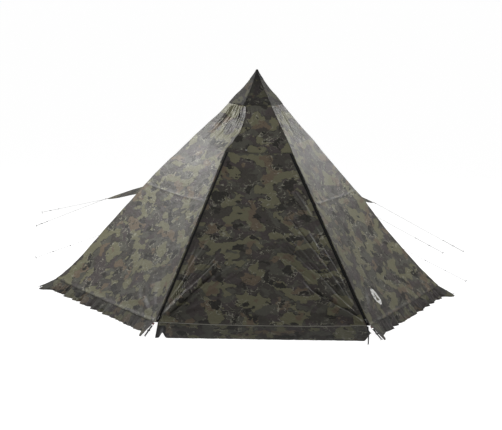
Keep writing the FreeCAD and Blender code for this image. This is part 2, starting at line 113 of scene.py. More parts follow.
# Reads a value between a table's rows.
def fromTable(table, value):
    for (a, x), (b, y) in zip(table, table[1:]):
        if a <= value <= b:
            return x + (y - x) * smooth(a, b, value)
    return 0.0


def runShare(z):
    return min(1.0, max(0.0, (tent["vent"] - z) / (tent["vent"] - tent["hem"])))


def ridgePoint(corner, z):
    corner = corner % 360
    out = radial(corner)
    inward = -(out * math.sin(ridgeSlope) + upWay * math.cos(ridgeSlope))
    point = out * cornerRadius(z) + upWay * z
    point += inward * fromTable(tent["ridgeSlack"][corner], z)
    if corner == 240:
        point += tangent(270) * fromTable(tent["crestShift"], z)
    return point


# Folds that fan out from a point on a facet: where (side, height), way in degrees, spread either
# side, where they start and end, how many to a radian, and how deep.
fans = {
    "front": [
        ((-1.13, 0.12), 50, 26, 0.35, 1.35, 19, 0.0125),
        ((-1.13, 0.12), 44, 30, 0.08, 0.8, 5, 0.019),
        ((1.13, 0.12), 124, 20, 0.5, 2.0, 21, 0.0120),
        ((1.13, 0.12), 140, 30, 0.08, 0.9, 5, 0.019),
        ((0.0, 2.62), -90, 32, 0.3, 1.2, 8, 0.005)],
    "left_front": [
        ((0.0, 2.62), -82, 40, 0.3, 1.15, 13, 0.012),
        ((1.15, 0.12), 158, 28, 0.06, 0.85, 7, 0.017),
        ((-1.15, 0.12), 30, 28, 0.06, 0.8, 6, 0.012)],
    "right_front": [
        ((0.0, 2.62), -98, 40, 0.3, 1.2, 10, 0.009),
        ((-1.15, 0.12), 40, 34, 0.06, 1.1, 6, 0.014),
        ((1.15, 0.12), 145, 30, 0.06, 0.9, 6, 0.009)],
}
otherFans = [
    ((0.0, 2.62), -90, 40, 0.3, 1.1, 10, 0.010),
    ((-1.15, 0.12), 35, 30, 0.06, 0.8, 6, 0.008),
    ((1.15, 0.12), 145, 30, 0.06, 0.8, 6, 0.008)]
# Single deep folds: points (side, height) from end to end, width and depth.
creases = {
    "front": [
        (((-1.075, 0.145), (-0.901, 0.298), (-0.667, 0.495), (-0.527, 0.609), (-0.36, 0.76)), 0.022, 0.026),
        (((1.08, 0.16), (1.019, 0.198), (0.799, 0.305), (0.55, 0.44), (0.34, 0.62)), 0.020, 0.022),
        (((0.349, 1.412), (0.49, 1.23), (0.632, 1.032)), 0.022, 0.013),
        (((0.30, 1.20), (0.50, 0.97), (0.692, 0.706)), 0.020, 0.012),
        (((-0.83, 0.55), (-0.62, 0.80), (-0.50, 0.95)), 0.020, 0.008)],
    "left_front": [
        (((0.024, 2.285), (-0.01, 2.20), (-0.053, 2.101)), 0.014, 0.010),
        (((0.112, 2.287), (0.115, 2.2), (0.102, 2.09)), 0.013, 0.010),
        (((0.215, 2.27), (0.38, 2.06), (0.545, 1.855)), 0.018, 0.014),
        (((0.16, 2.27), (0.26, 2.08), (0.36, 1.90)), 0.016, 0.011)],
    "right_front": [
        (((-0.207, 2.12), (-0.36, 1.87), (-0.5, 1.654)), 0.018, 0.012)],
}


def upSlope(z):
    return (z - tent["hem"]) / math.sin(facetSlope)


def fanLift(fan, side, z, seed):
    at, way, spread, near, reach, folds, deep = fan
    x, y = side - at[0], upSlope(z) - upSlope(at[1])
    far = math.hypot(x, y)
    if far < near * 0.4 or far > reach:
        return 0.0
    turn = math.degrees(math.atan2(y, x)) - way
    turn = (turn + 180) % 360 - 180
    if abs(turn) > spread:
        return 0.0
    window = math.cos(turn / spread * math.pi / 2) ** 0.8
    window *= smooth(near * 0.4, near, far) * (1 - smooth(reach * 0.55, reach, far))
    swing = noise.noise(Vector((math.radians(turn) * folds * 1.3, far * 1.6, seed + folds)))
    return deep * window * (1 - 2.6 * abs(swing))


def creaseLift(crease, side, z):
    places, wide, deep = crease
    here = Vector((side, upSlope(z)))
    line = [Vector((x, upSlope(y))) for x, y in places]
    best, share = 9.0, 0.0
    for number, (a, b) in enumerate(zip(line, line[1:])):
        t = min(1.0, max(0.0, (here - a).dot(b - a) / (b - a).length_squared))
        off = here - (a + (b - a) * t)
        if off.length < abs(best):
            best, share = off.length * (1 if off.cross(b - a) < 0 else -1), (number + t) / (len(line) - 1)
    if abs(best) > wide * 4:
        return 0.0
    fade = smooth(0, 0.12, share) * (1 - smooth(0.6, 1.0, share))
    t = best / wide
    return deep * fade * (math.exp(-(t - 0.9) ** 2) - 0.9 * math.exp(-(t + 0.6) ** 2 * 1.6))


# A point of a facet's cloth: its height, its place to the side, and a lift off the cloth.
def facetPoint(name, z, side, lift=0.0):
    azimuth, half = facets[name], halfWidth(z)
    u = min(1.0, max(-1.0, side / half))
    low, high = ridgePoint(azimuth - 30, z), ridgePoint(azimuth + 30, z)
    point = low.lerp(high, (u + 1) / 2)
    run, seed = runShare(z), facetSeed[name]
    rise = 0.0
    if 0 < run < 1:
        rise = -tent["panelSlack"][name] * (1 - u * u) * math.sin(math.pi * run ** 1.15) ** 0.8
    inset = smooth(0.0, 0.11, half - abs(side))
    away = smooth(0.0, 0.05, tent["vent"] - z) * (0.35 + 0.65 * smooth(0.0, 0.18, z - tent["hem"]))
    if inset > 0:
        place = Vector((side * 1.9, upSlope(z) * 1.6, seed))
        soft = 0.0085 * noise.noise(place) + 0.0034 * noise.noise(place * 3.1)
        for fan in fans.get(name, otherFans):
            soft += fanLift(fan, side, z, seed)
        for crease in creases.get(name, ()):
            soft += creaseLift(crease, side, z)
        rise += soft * inset * away
    drop = tent["hemDrop"][name] * (1 - u * u) * math.exp(-(z - tent["hem"]) / 0.22)
    return point + facetNormal(name) * (rise + lift) - upWay * drop


# A point on the front facet beside one of its ridges: how far into the facet, and its lift.
def alongRidge(corner, z, into, lift):
    way = 1 if corner == 300 else -1
    return facetPoint("front", z, way * (halfWidth(z) - into * squareToRidge), lift)


# materials

def addNode(tree, kind, **values):
    made = tree.nodes.new(kind)
    for key, value in values.items():
        setattr(made, key, value)
    return made


# Links or sets a node's inputs, by their names or numbers.
def feed(tree, node, **inputs):
    for key, value in inputs.items():
        socket = node.inputs[int(key[1:])] if key[0] == "n" and key[1:].isdigit() else node.inputs[key]
        if isinstance(value, bpy.types.NodeSocket):
            tree.links.new(value, socket)
        else:
            socket.default_value = value
    return node


def work(tree, operation, a, b=0.5, clamp=False):
    made = addNode(tree, "ShaderNodeMath", operation=operation, use_clamp=clamp)
    return feed(tree, made, n0=a, n1=b).outputs[0]


def times(tree, a, b):
    return work(tree, "MULTIPLY", a, b)


def inverse(tree, a):
    return work(tree, "SUBTRACT", 1.0, a)


def cloud(tree, place, scale, detail=2.0, rough=0.5, twist=0.0):
    made = addNode(tree, "ShaderNodeTexNoise")
    feed(tree, made, Vector=place, Scale=scale, Detail=detail, Roughness=rough, Distortion=twist)
    return made.outputs[0]


def step(tree, value, low, high):
    made = addNode(tree, "ShaderNodeMapRange", interpolation_type="SMOOTHSTEP")
    return feed(tree, made, Value=value, n1=low, n2=high).outputs[0]


def moved(tree, place, offset, scale=(1, 1, 1)):
    made = addNode(tree, "ShaderNodeMapping")
    return feed(tree, made, Vector=place, Location=offset, Scale=scale).outputs[0]


def blendColour(tree, share, a, b, mode="MIX"):
    made = addNode(tree, "ShaderNodeMix", data_type="RGBA", blend_type=mode)
    return feed(tree, made, n0=share, n6=a, n7=b).outputs[2]


def makeGroup(name, inputs, outputs):
    tree = bpy.data.node_groups.new(name, "ShaderNodeTree")
    for label, kind in inputs:
        tree.interface.new_socket(name=label, in_out="INPUT", socket_type="NodeSocket" + kind)
    for label, kind in outputs:
        tree.interface.new_socket(name=label, in_out="OUTPUT", socket_type="NodeSocket" + kind)
    return tree, addNode(tree, "NodeGroupInput"), addNode(tree, "NodeGroupOutput")


def useGroup(tree, group, **inputs):
    made = addNode(tree, "ShaderNodeGroup", node_tree=group)
    return feed(tree, made, **inputs)


camoColours = {
    "ground": (0.037, 0.0325, 0.028, 1), "plum": (0.045, 0.036, 0.036, 1), "olive": (0.116, 0.111, 0.067, 1),
    "brown": (0.106, 0.080, 0.054, 1), "slate": (0.061, 0.059, 0.048, 1), "dark": (0.012, 0.0105, 0.009, 1),
    "fleck": (0.250, 0.243, 0.190, 1)}


# Printed cloth: ragged blobs in dull greens and browns, with dark patches and pale scribbled edges.
def makeCamo():
    tree, start, end = makeGroup("blobPrint", [("place", "Vector")], [("colour", "Color"), ("pale", "Float")])
    place = moved(tree, start.outputs["place"], (0, 0, 0), (1.0, 1.25, 1.0))
    wobble = addNode(tree, "ShaderNodeTexNoise")
    feed(tree, wobble, Vector=place, Scale=27.0, Detail=2.0)
    shake = addNode(tree, "ShaderNodeVectorMath", operation="MULTIPLY_ADD")
    feed(tree, shake, n0=wobble.outputs["Color"], n1=(0.055, 0.055, 0.0), n2=place)
    torn = shake.outputs[0]
    c = camoColours

    def blobs(offset, scale, low, high, detail=2.0):
        return step(tree, cloud(tree, moved(tree, torn, offset), scale, detail, 0.5, 0.3), low, high)

    def outline(offset, scale, level, wide):
        field = cloud(tree, moved(tree, torn, offset), scale, 2.0, 0.5, 0.3)
        return inverse(tree, step(tree, work(tree, "ABSOLUTE", work(tree, "SUBTRACT", field, level)),
                                                wide * 0.4, wide))

    colour = blendColour(tree, blobs((3, 9, 0), 3.6, 0.49, 0.53), c["ground"], c["plum"])
    colour = blendColour(tree, blobs((17, 2, 0), 5.0, 0.52, 0.55), colour, c["slate"])
    colour = blendColour(tree, blobs((5, 31, 0), 4.6, 0.535, 0.55), colour, c["olive"])
    colour = blendColour(tree, blobs((41, 7, 0), 4.4, 0.60, 0.615), colour, c["brown"])
    colour = blendColour(tree, blobs((9, 19, 0), 6.0, 0.595, 0.612, 3.0), colour, c["dark"])
    lines = work(tree, "MAXIMUM", outline((9, 19, 0), 6.0, 0.585, 0.016),
                 outline((29, 3, 0), 8.5, 0.50, 0.014))
    cluster = step(tree, cloud(tree, moved(tree, place, (23, 13, 0)), 4.2, 1), 0.47, 0.56)
    broken = step(tree, cloud(tree, moved(tree, torn, (11, 3, 0)), 24.0, 2), 0.44, 0.52)
    pale = times(tree, times(tree, lines, cluster), broken)
    rim = times(tree, outline((5, 31, 0), 4.6, 0.530, 0.012),
               step(tree, cloud(tree, moved(tree, place, (2, 2, 0)), 5.0, 1), 0.44, 0.52))
    colour = blendColour(tree, times(tree, rim, 0.8), colour, c["dark"])
    colour = blendColour(tree, times(tree, pale, 0.8), colour, c["fleck"])
    fine = step(tree, cloud(tree, moved(tree, torn, (1, 1, 0)), 46.0, 4, 0.7), 0.30, 0.75)
    colour = blendColour(tree, times(tree, fine, 0.10), colour, c["fleck"])
    feed(tree, end, colour=colour, pale=pale)
    return tree


# Plain weave: threads both ways, at so many to a metre, as a height.
def makeWeave():
    tree, start, end = makeGroup("plainWeave", [("place", "Vector"), ("threads", "Float")],
                                 [("height", "Float")])
    parts = addNode(tree, "ShaderNodeSeparateXYZ")
    feed(tree, parts, Vector=start.outputs["place"])
    turn = times(tree, start.outputs["threads"], math.pi)
    warp = work(tree, "SINE", times(tree, parts.outputs[0], turn))
    weft = work(tree, "SINE", times(tree, parts.outputs[1], turn))
    feed(tree, end, height=times(tree, warp, weft))
    return tree


# A sewn edge: two rows of stitches beside a seam, and the fold's height.
def makeSewnEdge():
    tree, start, end = makeGroup("sewnEdge", [("away", "Float"), ("place", "Vector")],
                                 [("thread", "Float"), ("fold", "Float")])
    away = start.outputs["away"]
    parts = addNode(tree, "ShaderNodeSeparateXYZ")
    feed(tree, parts, Vector=start.outputs["place"])
    along = work(tree, "ADD", parts.outputs[0], times(tree, parts.outputs[1], 0.83))
    dash = step(tree, work(tree, "SINE", times(tree, along, 1500.0)), -0.5, 0.0)
    rows = None
    for distance in (0.0030, 0.0095):
        gap = work(tree, "ABSOLUTE", work(tree, "SUBTRACT", away, distance))
        row = inverse(tree, step(tree, gap, 0.0004, 0.0010))
        rows = row if rows is None else work(tree, "MAXIMUM", rows, row)
    fold = inverse(tree, step(tree, away, 0.0115, 0.0135))
    feed(tree, end, thread=times(tree, rows, dash), fold=fold)
    return tree


# Dust and dulling: a soft mask in patches.
def makeDust():
    tree, start, end = makeGroup("dust", [("place", "Vector"), ("scale", "Float")], [("mask", "Float")])
    big = cloud(tree, start.outputs["place"], start.outputs["scale"], 5, 0.6)
    feed(tree, end, mask=step(tree, big, 0.42, 0.72))
    return tree


camoGroup, weaveGroup, sewnGroup, dustGroup = makeCamo(), makeWeave(), makeSewnEdge(), makeDust()


def newMaterial(name):
    made = bpy.data.materials.new(name)
    made.use_nodes = True
    tree = made.node_tree
    shader = tree.nodes["Principled BSDF"]
    return made, tree, shader


def bump(tree, height, strength, distance, under=None):
    made = addNode(tree, "ShaderNodeBump")
    feed(tree, made, Strength=strength, Distance=distance, Height=height)
    if under is not None:
        feed(tree, made, Normal=under)
    return made.outputs[0]


def camoCloth(name, paintedShade=1.0, gloss=0.42, dust=0.05, sewn=True, lined=False, band=None):
    made, tree, shader = newMaterial(name)
    place = addNode(tree, "ShaderNodeUVMap", uv_map="cut").outputs[0]
    camo = useGroup(tree, camoGroup, place=place)
    weave = useGroup(tree, weaveGroup, place=place, threads=1100.0)
    grime = useGroup(tree, dustGroup, place=place, scale=2.2)
    colour = blendColour(tree, times(tree, grime.outputs[0], dust), camo.outputs[0], (0.13, 0.125, 0.11, 1))
    height = times(tree, weave.outputs[0], 0.06)
    if sewn:
        away = addNode(tree, "ShaderNodeAttribute", attribute_name="seamAway").outputs["Fac"]
        edge = useGroup(tree, sewnGroup, away=away, place=place)
        colour = blendColour(tree, times(tree, edge.outputs["thread"], 0.6), colour, (0.02, 0.019, 0.016, 1))
        colour = blendColour(tree, times(tree, edge.outputs["fold"], 0.35), colour, (0.03, 0.028, 0.023, 1))
        height = work(tree, "ADD", height, times(tree, edge.outputs["fold"], 0.15))
        height = work(tree, "SUBTRACT", height, times(tree, edge.outputs["thread"], 0.35))
    # Painted highlight: a pale line along the door's hem, at the cut row given by band, where the hem's fold
    # catches light.
    if band is not None:
        parts = addNode(tree, "ShaderNodeSeparateXYZ")
        feed(tree, parts, Vector=place)
        paintedHemGlint = inverse(tree, step(tree, parts.outputs[1], band + 0.0065, band + 0.0085))
        colour = blendColour(tree, times(tree, paintedHemGlint, 0.8), colour, (0.30, 0.29, 0.25, 1))
    if lined:
        turned = addNode(tree, "ShaderNodeAttribute", attribute_name="turned").outputs["Fac"]
        colour = blendColour(tree, turned, colour, (0.008, 0.008, 0.008, 1))
    # The colour's value is scaled by paintedShade: the darker copies of this cloth are painted shade.
    hue = addNode(tree, "ShaderNodeHueSaturation")
    feed(tree, hue, Color=colour, Value=paintedShade)
    crumple = cloud(tree, moved(tree, place, (0, 0, 0), (1.0, 1.25, 1.0)), 14.0, 4, 0.55, 0.3)
    normal = bump(tree, crumple, 0.55, 0.010)
    normal = bump(tree, height, 0.5, 0.0012, normal)
    rough = work(tree, "ADD", gloss, times(tree, cloud(tree, place, 6.0, 3), 0.14))
    feed(tree, shader, **{"Base Color": hue.outputs[0], "Roughness": rough, "Normal": normal})
    shader.inputs["Specular IOR Level"].default_value = 0.30
    shader.inputs["Sheen Weight"].default_value = 0.05
    shader.inputs["Sheen Roughness"].default_value = 0.4
    return made


# Plain dyed cloth or webbing with a weave, a little fading and dust.
def plainCloth(name, colour, threads=900.0, rough=0.75, uv="cut", worn=(0.10, 0.10, 0.10, 1)):
    made, tree, shader = newMaterial(name)
    if uv:
        place = addNode(tree, "ShaderNodeUVMap", uv_map=uv).outputs[0]
    else:
        place = addNode(tree, "ShaderNodeTexCoord").outputs["Object"]
    weave = useGroup(tree, weaveGroup, place=place, threads=threads)
    grime = useGroup(tree, dustGroup, place=place, scale=18.0)
    mixed = blendColour(tree, times(tree, grime.outputs[0], 0.22), colour, worn)
    normal = bump(tree, cloud(tree, place, 60.0, 3), 0.4, 0.002)
    normal = bump(tree, weave.outputs[0], 0.45, 0.0006, normal)
    feed(tree, shader, **{"Base Color": mixed, "Normal": normal,
                          "Roughness": work(tree, "ADD", rough, times(tree, grime.outputs[0], 0.12))})
    shader.inputs["Specular IOR Level"].default_value = 0.3
    return made


# Insect net: fine threads both ways with holes between them.
def netCloth(name, uv="cut"):
    made, tree, shader = newMaterial(name)
    place = addNode(tree, "ShaderNodeUVMap", uv_map=uv).outputs[0]
    parts = addNode(tree, "ShaderNodeSeparateXYZ")
    feed(tree, parts, Vector=place)
    threads = None
    for axis in (0, 1):
        wave = work(tree, "ABSOLUTE", work(tree, "SINE", times(tree, parts.outputs[axis], 1650.0)))
        line = inverse(tree, step(tree, wave, 0.30, 0.45))
        threads = line if threads is None else work(tree, "MAXIMUM", threads, line)
    grime = useGroup(tree, dustGroup, place=place, scale=9.0)
    colour = blendColour(tree, times(tree, grime.outputs[0], 0.3), (0.012, 0.012, 0.012, 1),
                         (0.05, 0.05, 0.048, 1))
    feed(tree, shader, **{"Base Color": colour, "Alpha": threads,
                          "Roughness": work(tree, "ADD", 0.6, times(tree, grime.outputs[0], 0.2))})
    return made


def plastic(name, colour, rough=0.38):
    made, tree, shader = newMaterial(name)
    place = addNode(tree, "ShaderNodeTexCoord").outputs["Object"]
    grime = useGroup(tree, dustGroup, place=place, scale=60.0)
    grain = cloud(tree, place, 900.0, 3, 0.6)
    colour = blendColour(tree, times(tree, grime.outputs[0], 0.35), colour, (0.06, 0.058, 0.055, 1))
    feed(tree, shader, **{"Base Color": colour, "Normal": bump(tree, grain, 0.35, 0.0002),
                          "Roughness": work(tree, "ADD", rough, times(tree, grime.outputs[0], 0.25))})
    return made


def metal(name, colour, rough=0.28, brushed=(1, 1, 40), scuff=(0.16, 0.15, 0.14, 1)):
    made, tree, shader = newMaterial(name)
    place = addNode(tree, "ShaderNodeTexCoord").outputs["Object"]
    streak = cloud(tree, moved(tree, place, (0, 0, 0), brushed), 90.0, 3, 0.6)
    grime = useGroup(tree, dustGroup, place=place, scale=35.0)
    mixed = blendColour(tree, times(tree, grime.outputs[0], 0.4), colour, scuff)
    feed(tree, shader, **{"Base Color": mixed, "Normal": bump(tree, streak, 0.2, 0.0003),
                          "Metallic": inverse(tree, times(tree, grime.outputs[0], 0.25)),
                          "Roughness": work(tree, "ADD", rough, times(tree, streak, 0.18))})
    return made


# Braided cord: slanting strands and a tracer thread, on its own coordinates.
def cordMaterial(name, colour, tracer):
    made, tree, shader = newMaterial(name)
    place = addNode(tree, "ShaderNodeTexCoord").outputs["Object"]
    strands = addNode(tree, "ShaderNodeTexWave", wave_type="BANDS", bands_direction="DIAGONAL")
    feed(tree, strands, Vector=place, Scale=260.0, Distortion=1.5, Detail=1.0)
    speck = step(tree, cloud(tree, place, 160.0, 1), 0.60, 0.66)
    mixed = blendColour(tree, times(tree, speck, 0.5), colour, tracer)
    feed(tree, shader, **{"Base Color": mixed, "Normal": bump(tree, strands.outputs[1], 0.7, 0.0004),
                          "Roughness": work(tree, "ADD", 0.62, times(tree, speck, 0.1))})
    return made


def inkPrint(name):
    made, tree, shader = newMaterial(name)
    place = addNode(tree, "ShaderNodeUVMap", uv_map="cut").outputs[0]
    worn = step(tree, cloud(tree, place, 70.0, 5, 0.7), 0.30, 0.48)
    colour = blendColour(tree, worn, (0.30, 0.30, 0.28, 1), (0.66, 0.66, 0.63, 1))
    weave = useGroup(tree, weaveGroup, place=place, threads=1100.0)
    feed(tree, shader, **{"Base Color": colour, "Normal": bump(tree, weave.outputs[0], 0.4, 0.0006),
                          "Roughness": work(tree, "ADD", 0.5, times(tree, worn, 0.08))})
    return made


finish = {
    "camo_cloth": camoCloth("camoCloth"),
    # The skirts' cloth is darkened to 0.62: painted shade on the low skirts under the canopy's hem.
    "skirt_cloth": camoCloth("skirtCloth", paintedShade=0.62, gloss=0.6, dust=0.08, lined=True),
    "black_cloth": plainCloth("blackCloth", (0.010, 0.010, 0.0105, 1), worn=(0.04, 0.04, 0.04, 1)),
    "net": netCloth("insectNet"),
    "zip_tape": plainCloth("zipTape", (0.006, 0.006, 0.0065, 1), threads=1400.0, worn=(0.02, 0.02, 0.02, 1)),
    "zip_metal": metal("zipMetal", (0.30, 0.30, 0.31, 1), 0.3),
    "seam_tape": plainCloth("seamTape", (0.050, 0.048, 0.042, 1), threads=700.0),
    "black_webbing": plainCloth("blackWebbing", (0.012, 0.012, 0.013, 1), threads=520.0, uv=None,
                                worn=(0.05, 0.048, 0.045, 1)),
    "red_webbing": plainCloth("redWebbing", (0.13, 0.009, 0.014, 1), threads=520.0, uv=None,
                              worn=(0.2, 0.06, 0.06, 1)),
    "bright_wire": metal("brightWire", (0.62, 0.62, 0.63, 1), 0.22),
    "black_plastic": plastic("blackPlastic", (0.013, 0.013, 0.014, 1)),
    "cord": cordMaterial("guyCord", (0.012, 0.012, 0.012, 1), (0.06, 0.06, 0.058, 1)),
    "peg_steel": metal("pegSteel", (0.45, 0.45, 0.46, 1), 0.32),
    "pole_steel": metal("poleSteel", (0.40, 0.40, 0.41, 1), 0.35),
    "button_steel": metal("buttonSteel", (0.7, 0.7, 0.7, 1), 0.15),
    "foot_rubber": plastic("footRubber", (0.02, 0.02, 0.02, 1), 0.7),
    "print_white": inkPrint("inkPrint"),
}
# The door's cloth, with a painted highlight along its hem.
doorCloth = camoCloth("doorCloth", band=4.2)
# The hoods' and the cap's cloth is darkened: painted shade on cloth that is backlit and seen from below.
hoodCloth = camoCloth("hoodCloth", paintedShade=0.5, gloss=0.65)
capCloth = camoCloth("capCloth", paintedShade=0.42, gloss=0.7)
for nodeName, node in nodes.items():
    for index in range(len(node.data.materials)):
        label = node.data.materials[index].name.split(".")[0] if node.data.materials[index] else ""
        if label in finish:
            node.material_slots[index].material = finish[label]
print("materials made:", len(finish))


# helpers for making pieces

def placeIn(piece, body, slotName, material, replaced=()):
    piece.data.materials.clear()
    piece.data.materials.append(material)
    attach(piece, body)
    if replaced:
        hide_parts(*replaced)
    return piece


def clearSelection():
    if bpy.context.object and bpy.context.object.mode != "OBJECT":
        bpy.ops.object.mode_set(mode="OBJECT")
    bpy.ops.object.select_all(action="DESELECT")


def choose(*pieces):
    clearSelection()
    for piece in pieces:
        piece.select_set(True)
    bpy.context.view_layer.objects.active = pieces[0]


def applyAll(piece):
    choose(piece)
    for modifier in list(piece.modifiers):
        bpy.ops.object.modifier_apply(modifier=modifier.name)
    bpy.ops.object.transform_apply(location=True, rotation=True, scale=True)


def joinPieces(name, pieces):
    choose(*pieces)
    if len(pieces) > 1:
        bpy.ops.object.join()
    pieces[0].name = pieces[0].data.name = name
    return pieces[0]


def copyOf(piece, name, matrix):
    made = piece.copy()
    made.data = piece.data.copy()
    made.name = made.data.name = name
    made.data.transform(matrix)
    bpy.context.collection.objects.link(made)
    return made


# A cloth sheet from points, faces and the flat cut's place of each face corner.
def sheetMesh(name, points, faces, cut, away, thick=None):
    mesh = bpy.data.meshes.new(name)
    mesh.from_pydata([tuple(p) for p in points], [], faces)
    layer = mesh.uv_layers.new(name="cut")
    layer.data.foreach_set("uv", [x for corner in cut for place in corner for x in place])
    mesh.attributes.new("seamAway", "FLOAT", "POINT").data.foreach_set("value", away)
    mesh.validate()
    piece = bpy.data.objects.new(name, mesh)
    bpy.context.collection.objects.link(piece)
    piece["thick"] = thick if thick is not None else tent["clothThick"]
    return piece


# Turns a sheet's faces outwards, gives it its thickness inwards, and shades it smooth between folds.
def thicken(piece, angle, outward):
    mesh = piece.data
    if sum((f.normal.dot(outward(f.center)) * f.area for f in mesh.polygons), 0.0) < 0:
        mesh.flip_normals()
    wall = piece.modifiers.new("wall", "SOLIDIFY")
    wall.thickness = piece["thick"]
    wall.offset = -1
    applyAll(piece)
    bpy.ops.object.shade_smooth_by_angle(angle=math.radians(angle))
    return piece


# A sheet over a grid of across × along values.
def gridSheet(name, pointAt, across, along, cutAt, awayAt=None, thick=None, angle=45, outward=None):
    points, cuts, away = [], [], []
    for v in along:
        for u in across:
            points.append(pointAt(u, v))
            cuts.append(cutAt(u, v))
            away.append(awayAt(u, v) if awayAt else 1.0)
    wide = len(across)
    faces, cut = [], []
    for j in range(len(along) - 1):
        for i in range(wide - 1):
            a = j * wide + i
            face = (a, a + 1, a + 1 + wide, a + wide)
            faces.append(face)
            cut.append([cuts[k] for k in face])
    piece = sheetMesh(name, points, faces, cut, away, thick)
    return thicken(piece, angle, outward)


def steps(start, end, count):
    return [start + (end - start) * k / count for k in range(count + 1)]


def fromAxis(centre):
    return Vector((centre.x, centre.y, 1.0))


# camera

def makeCamera():
    view = {"at": (-1.309, -16.09, 3.77), "right": (0.9966, -0.0742, 0.0358),
            "up": (-0.0223, 0.1751, 0.9843), "forward": (0.0793, 0.9817, -0.1729), "lens": 98.87}
    data = bpy.data.cameras.new("camera")
    data.lens, data.sensor_width, data.clip_end = view["lens"], 36.0, 400.0
    camera = bpy.data.objects.new("camera", data)
    turn = Matrix((view["right"], view["up"], [-x for x in view["forward"]])).transposed().to_4x4()
    camera.matrix_world = Matrix.Translation(view["at"]) @ turn
    bpy.context.collection.objects.link(camera)
    bpy.context.scene.camera = camera


makeCamera()


# guy lines. Each route is the part's own, in metres: out of the ring, down to the peg,
# round it, and back up to the knot.

gear = {
    "cordThick": 0.0028,
    "turn": 0.0047,               # peg's middle to the cord's middle
    "back": 0.600,                # the line's second run, from the peg to the knot
    "near": 0.017,                # first point after the ring
    "exit": 0.0129,               # ring's middle to the start of the cord
    "apart": 0.680,               # where the two runs part, up from the peg
    "runner": 0.300,              # the runner's place, up from the peg
    "knotRing": 0.0040,           # the knot's loop round the ring's wire
}
guyLines = {
    # ring's middle, catch on the peg, length of the whole line
    "left_back": ((-0.70590, 1.22366, 1.13161), (-2.83240, 5.03931, 0.01938), 5.11),
    "left_hood": ((-1.75506, 0.84158, 0.95023), (-2.83182, 3.91020, 0.01923), 3.985),
    "left_side": ((-1.37392, 0.79576, 0.67113), (-2.66144, 1.66434, 0.01843), 2.287),
    "right_back": ((0.63386, 1.06970, 1.30529), (2.89728, 2.51967, 0.01803), 3.582),
    "right_hood": ((1.64819, 1.03758, 0.94657), (3.21536, 2.64048, 0.01847), 3.028),
    "right_side": ((1.33764, 0.75422, 0.72953), (2.81371, 0.73489, 0.01801), 2.241),
}


# The way a line runs down to its peg, and the level way across it.
def lineFrame(centre, catch):
    way = (Vector(catch) - Vector(centre)).normalized()
    return way, upWay.cross(way).normalized()


def makeLine(name, centre, catch, length):
    way, across = lineFrame(centre, catch)
    centre, catch, turn = Vector(centre), Vector(catch), gear["turn"]
    begin = centre + way * gear["exit"]
    points = [begin, begin + way * gear["near"],
              catch - way * gear["apart"] + across * turn,
              catch - way * turn + across * turn, catch + way * turn + across * turn,
              catch + way * turn - across * turn, catch - way * turn - across * turn,
              catch - way * gear["back"] - across * turn]
    curve = bpy.data.curves.new(name + "_cord", "CURVE")
    curve.dimensions = "3D"
    curve.bevel_depth, curve.bevel_resolution, curve.resolution_u = gear["cordThick"] / 2, 3, 16
    curve.use_fill_caps = True
    spline = curve.splines.new("NURBS")
    spline.points.add(len(points) - 1)
    for point, place in zip(spline.points, points):
        point.co = (*place, 1.0)
    spline.order_u = 3
    spline.use_endpoint_u = True
    piece = bpy.data.objects.new(name + "_cord", curve)
    bpy.context.collection.objects.link(piece)
    placeIn(piece, "tent", "cord", finish["cord"], [name + "_line"])
    knots = [makeKnot(name + "_ring_knot", begin + way * 0.004, way, across, True),
             makeKnot(name + "_end_knot", catch - way * gear["back"], way, across, False)]


# A ring of cord about an axis, stretched along a way if one is given.
def torus(centre, axis, major, minor, around=20, tube=8, stretch=None):
    clearSelection()
    turn = upWay.rotation_difference(axis).to_euler()
    bpy.ops.mesh.primitive_torus_add(location=centre, rotation=turn, major_radius=major, minor_radius=minor,
                                     major_segments=around, minor_segments=tube)
    piece = bpy.context.object
    bpy.ops.object.transform_apply(location=True, rotation=True, scale=True)
    if stretch:
        way, factor = stretch
        for vertex in piece.data.vertices:
            off = (vertex.co - centre).dot(way)
            vertex.co += way * off * (factor - 1)
    bpy.ops.object.shade_smooth()
    return piece


# A few turns of cord laid side by side, with the loop round the ring's wire.
def makeKnot(name, centre, way, across, onRing):
    thick = gear["cordThick"]
    reach = thick * 1.05 if onRing else thick * 1.6
    pieces = [torus(centre + way * thick * 0.98 * k, (way + across * 0.12 * (k % 2 * 2 - 1)).normalized(),
                    reach, thick * 0.5) for k in range(4)]
    if onRing:
        loop = centre - way * 0.0062
        pieces.append(torus(loop, across, gear["knotRing"], thick * 0.5, stretch=(way, 1.25)))
    piece = joinPieces(name, pieces)
    return placeIn(piece, "tent", "cord", finish["cord"])


for lineName, (ringMiddle, catchPoint, wholeLength) in guyLines.items():
    makeLine(lineName, ringMiddle, catchPoint, wholeLength)
print("guy lines laid:", len(guyLines))


# canopy: one sheet round the five fixed facets and across the top of the front

canopy = {
    "columns": {"right_front": 100, "right_rear": 60, "rear": 60, "left_rear": 60, "left_front": 100,
                "front": 72},
    "flat": (13.1, 2.77), "area": 17.93,
    "windowHalf": 0.36, "windowLow": 0.79, "windowHigh": 1.09,
}


def canopyRows():
    seam, lap = tent["seam"], tent["lap"]
    rows = steps(tent["vent"], tent["doorTop"], 24)
    rows += steps(tent["doorTop"], seam + 0.0015, 20)[1:]
    rows += [seam - 0.0005, seam - lap, seam - lap - 0.0035]
    rows += steps(seam - lap - 0.0035, 0.140, 52)[1:]
    rows += [0.1385, tent["hem"]]
    return rows


# The level seam's overlap and the folded hem stand out by a thickness of cloth.
def layerLift(z):
    lift = 0.0009 if tent["seam"] - tent["lap"] - 0.0002 <= z <= tent["seam"] else 0.0
    return lift + (0.0012 if z < 0.1388 else 0.0)


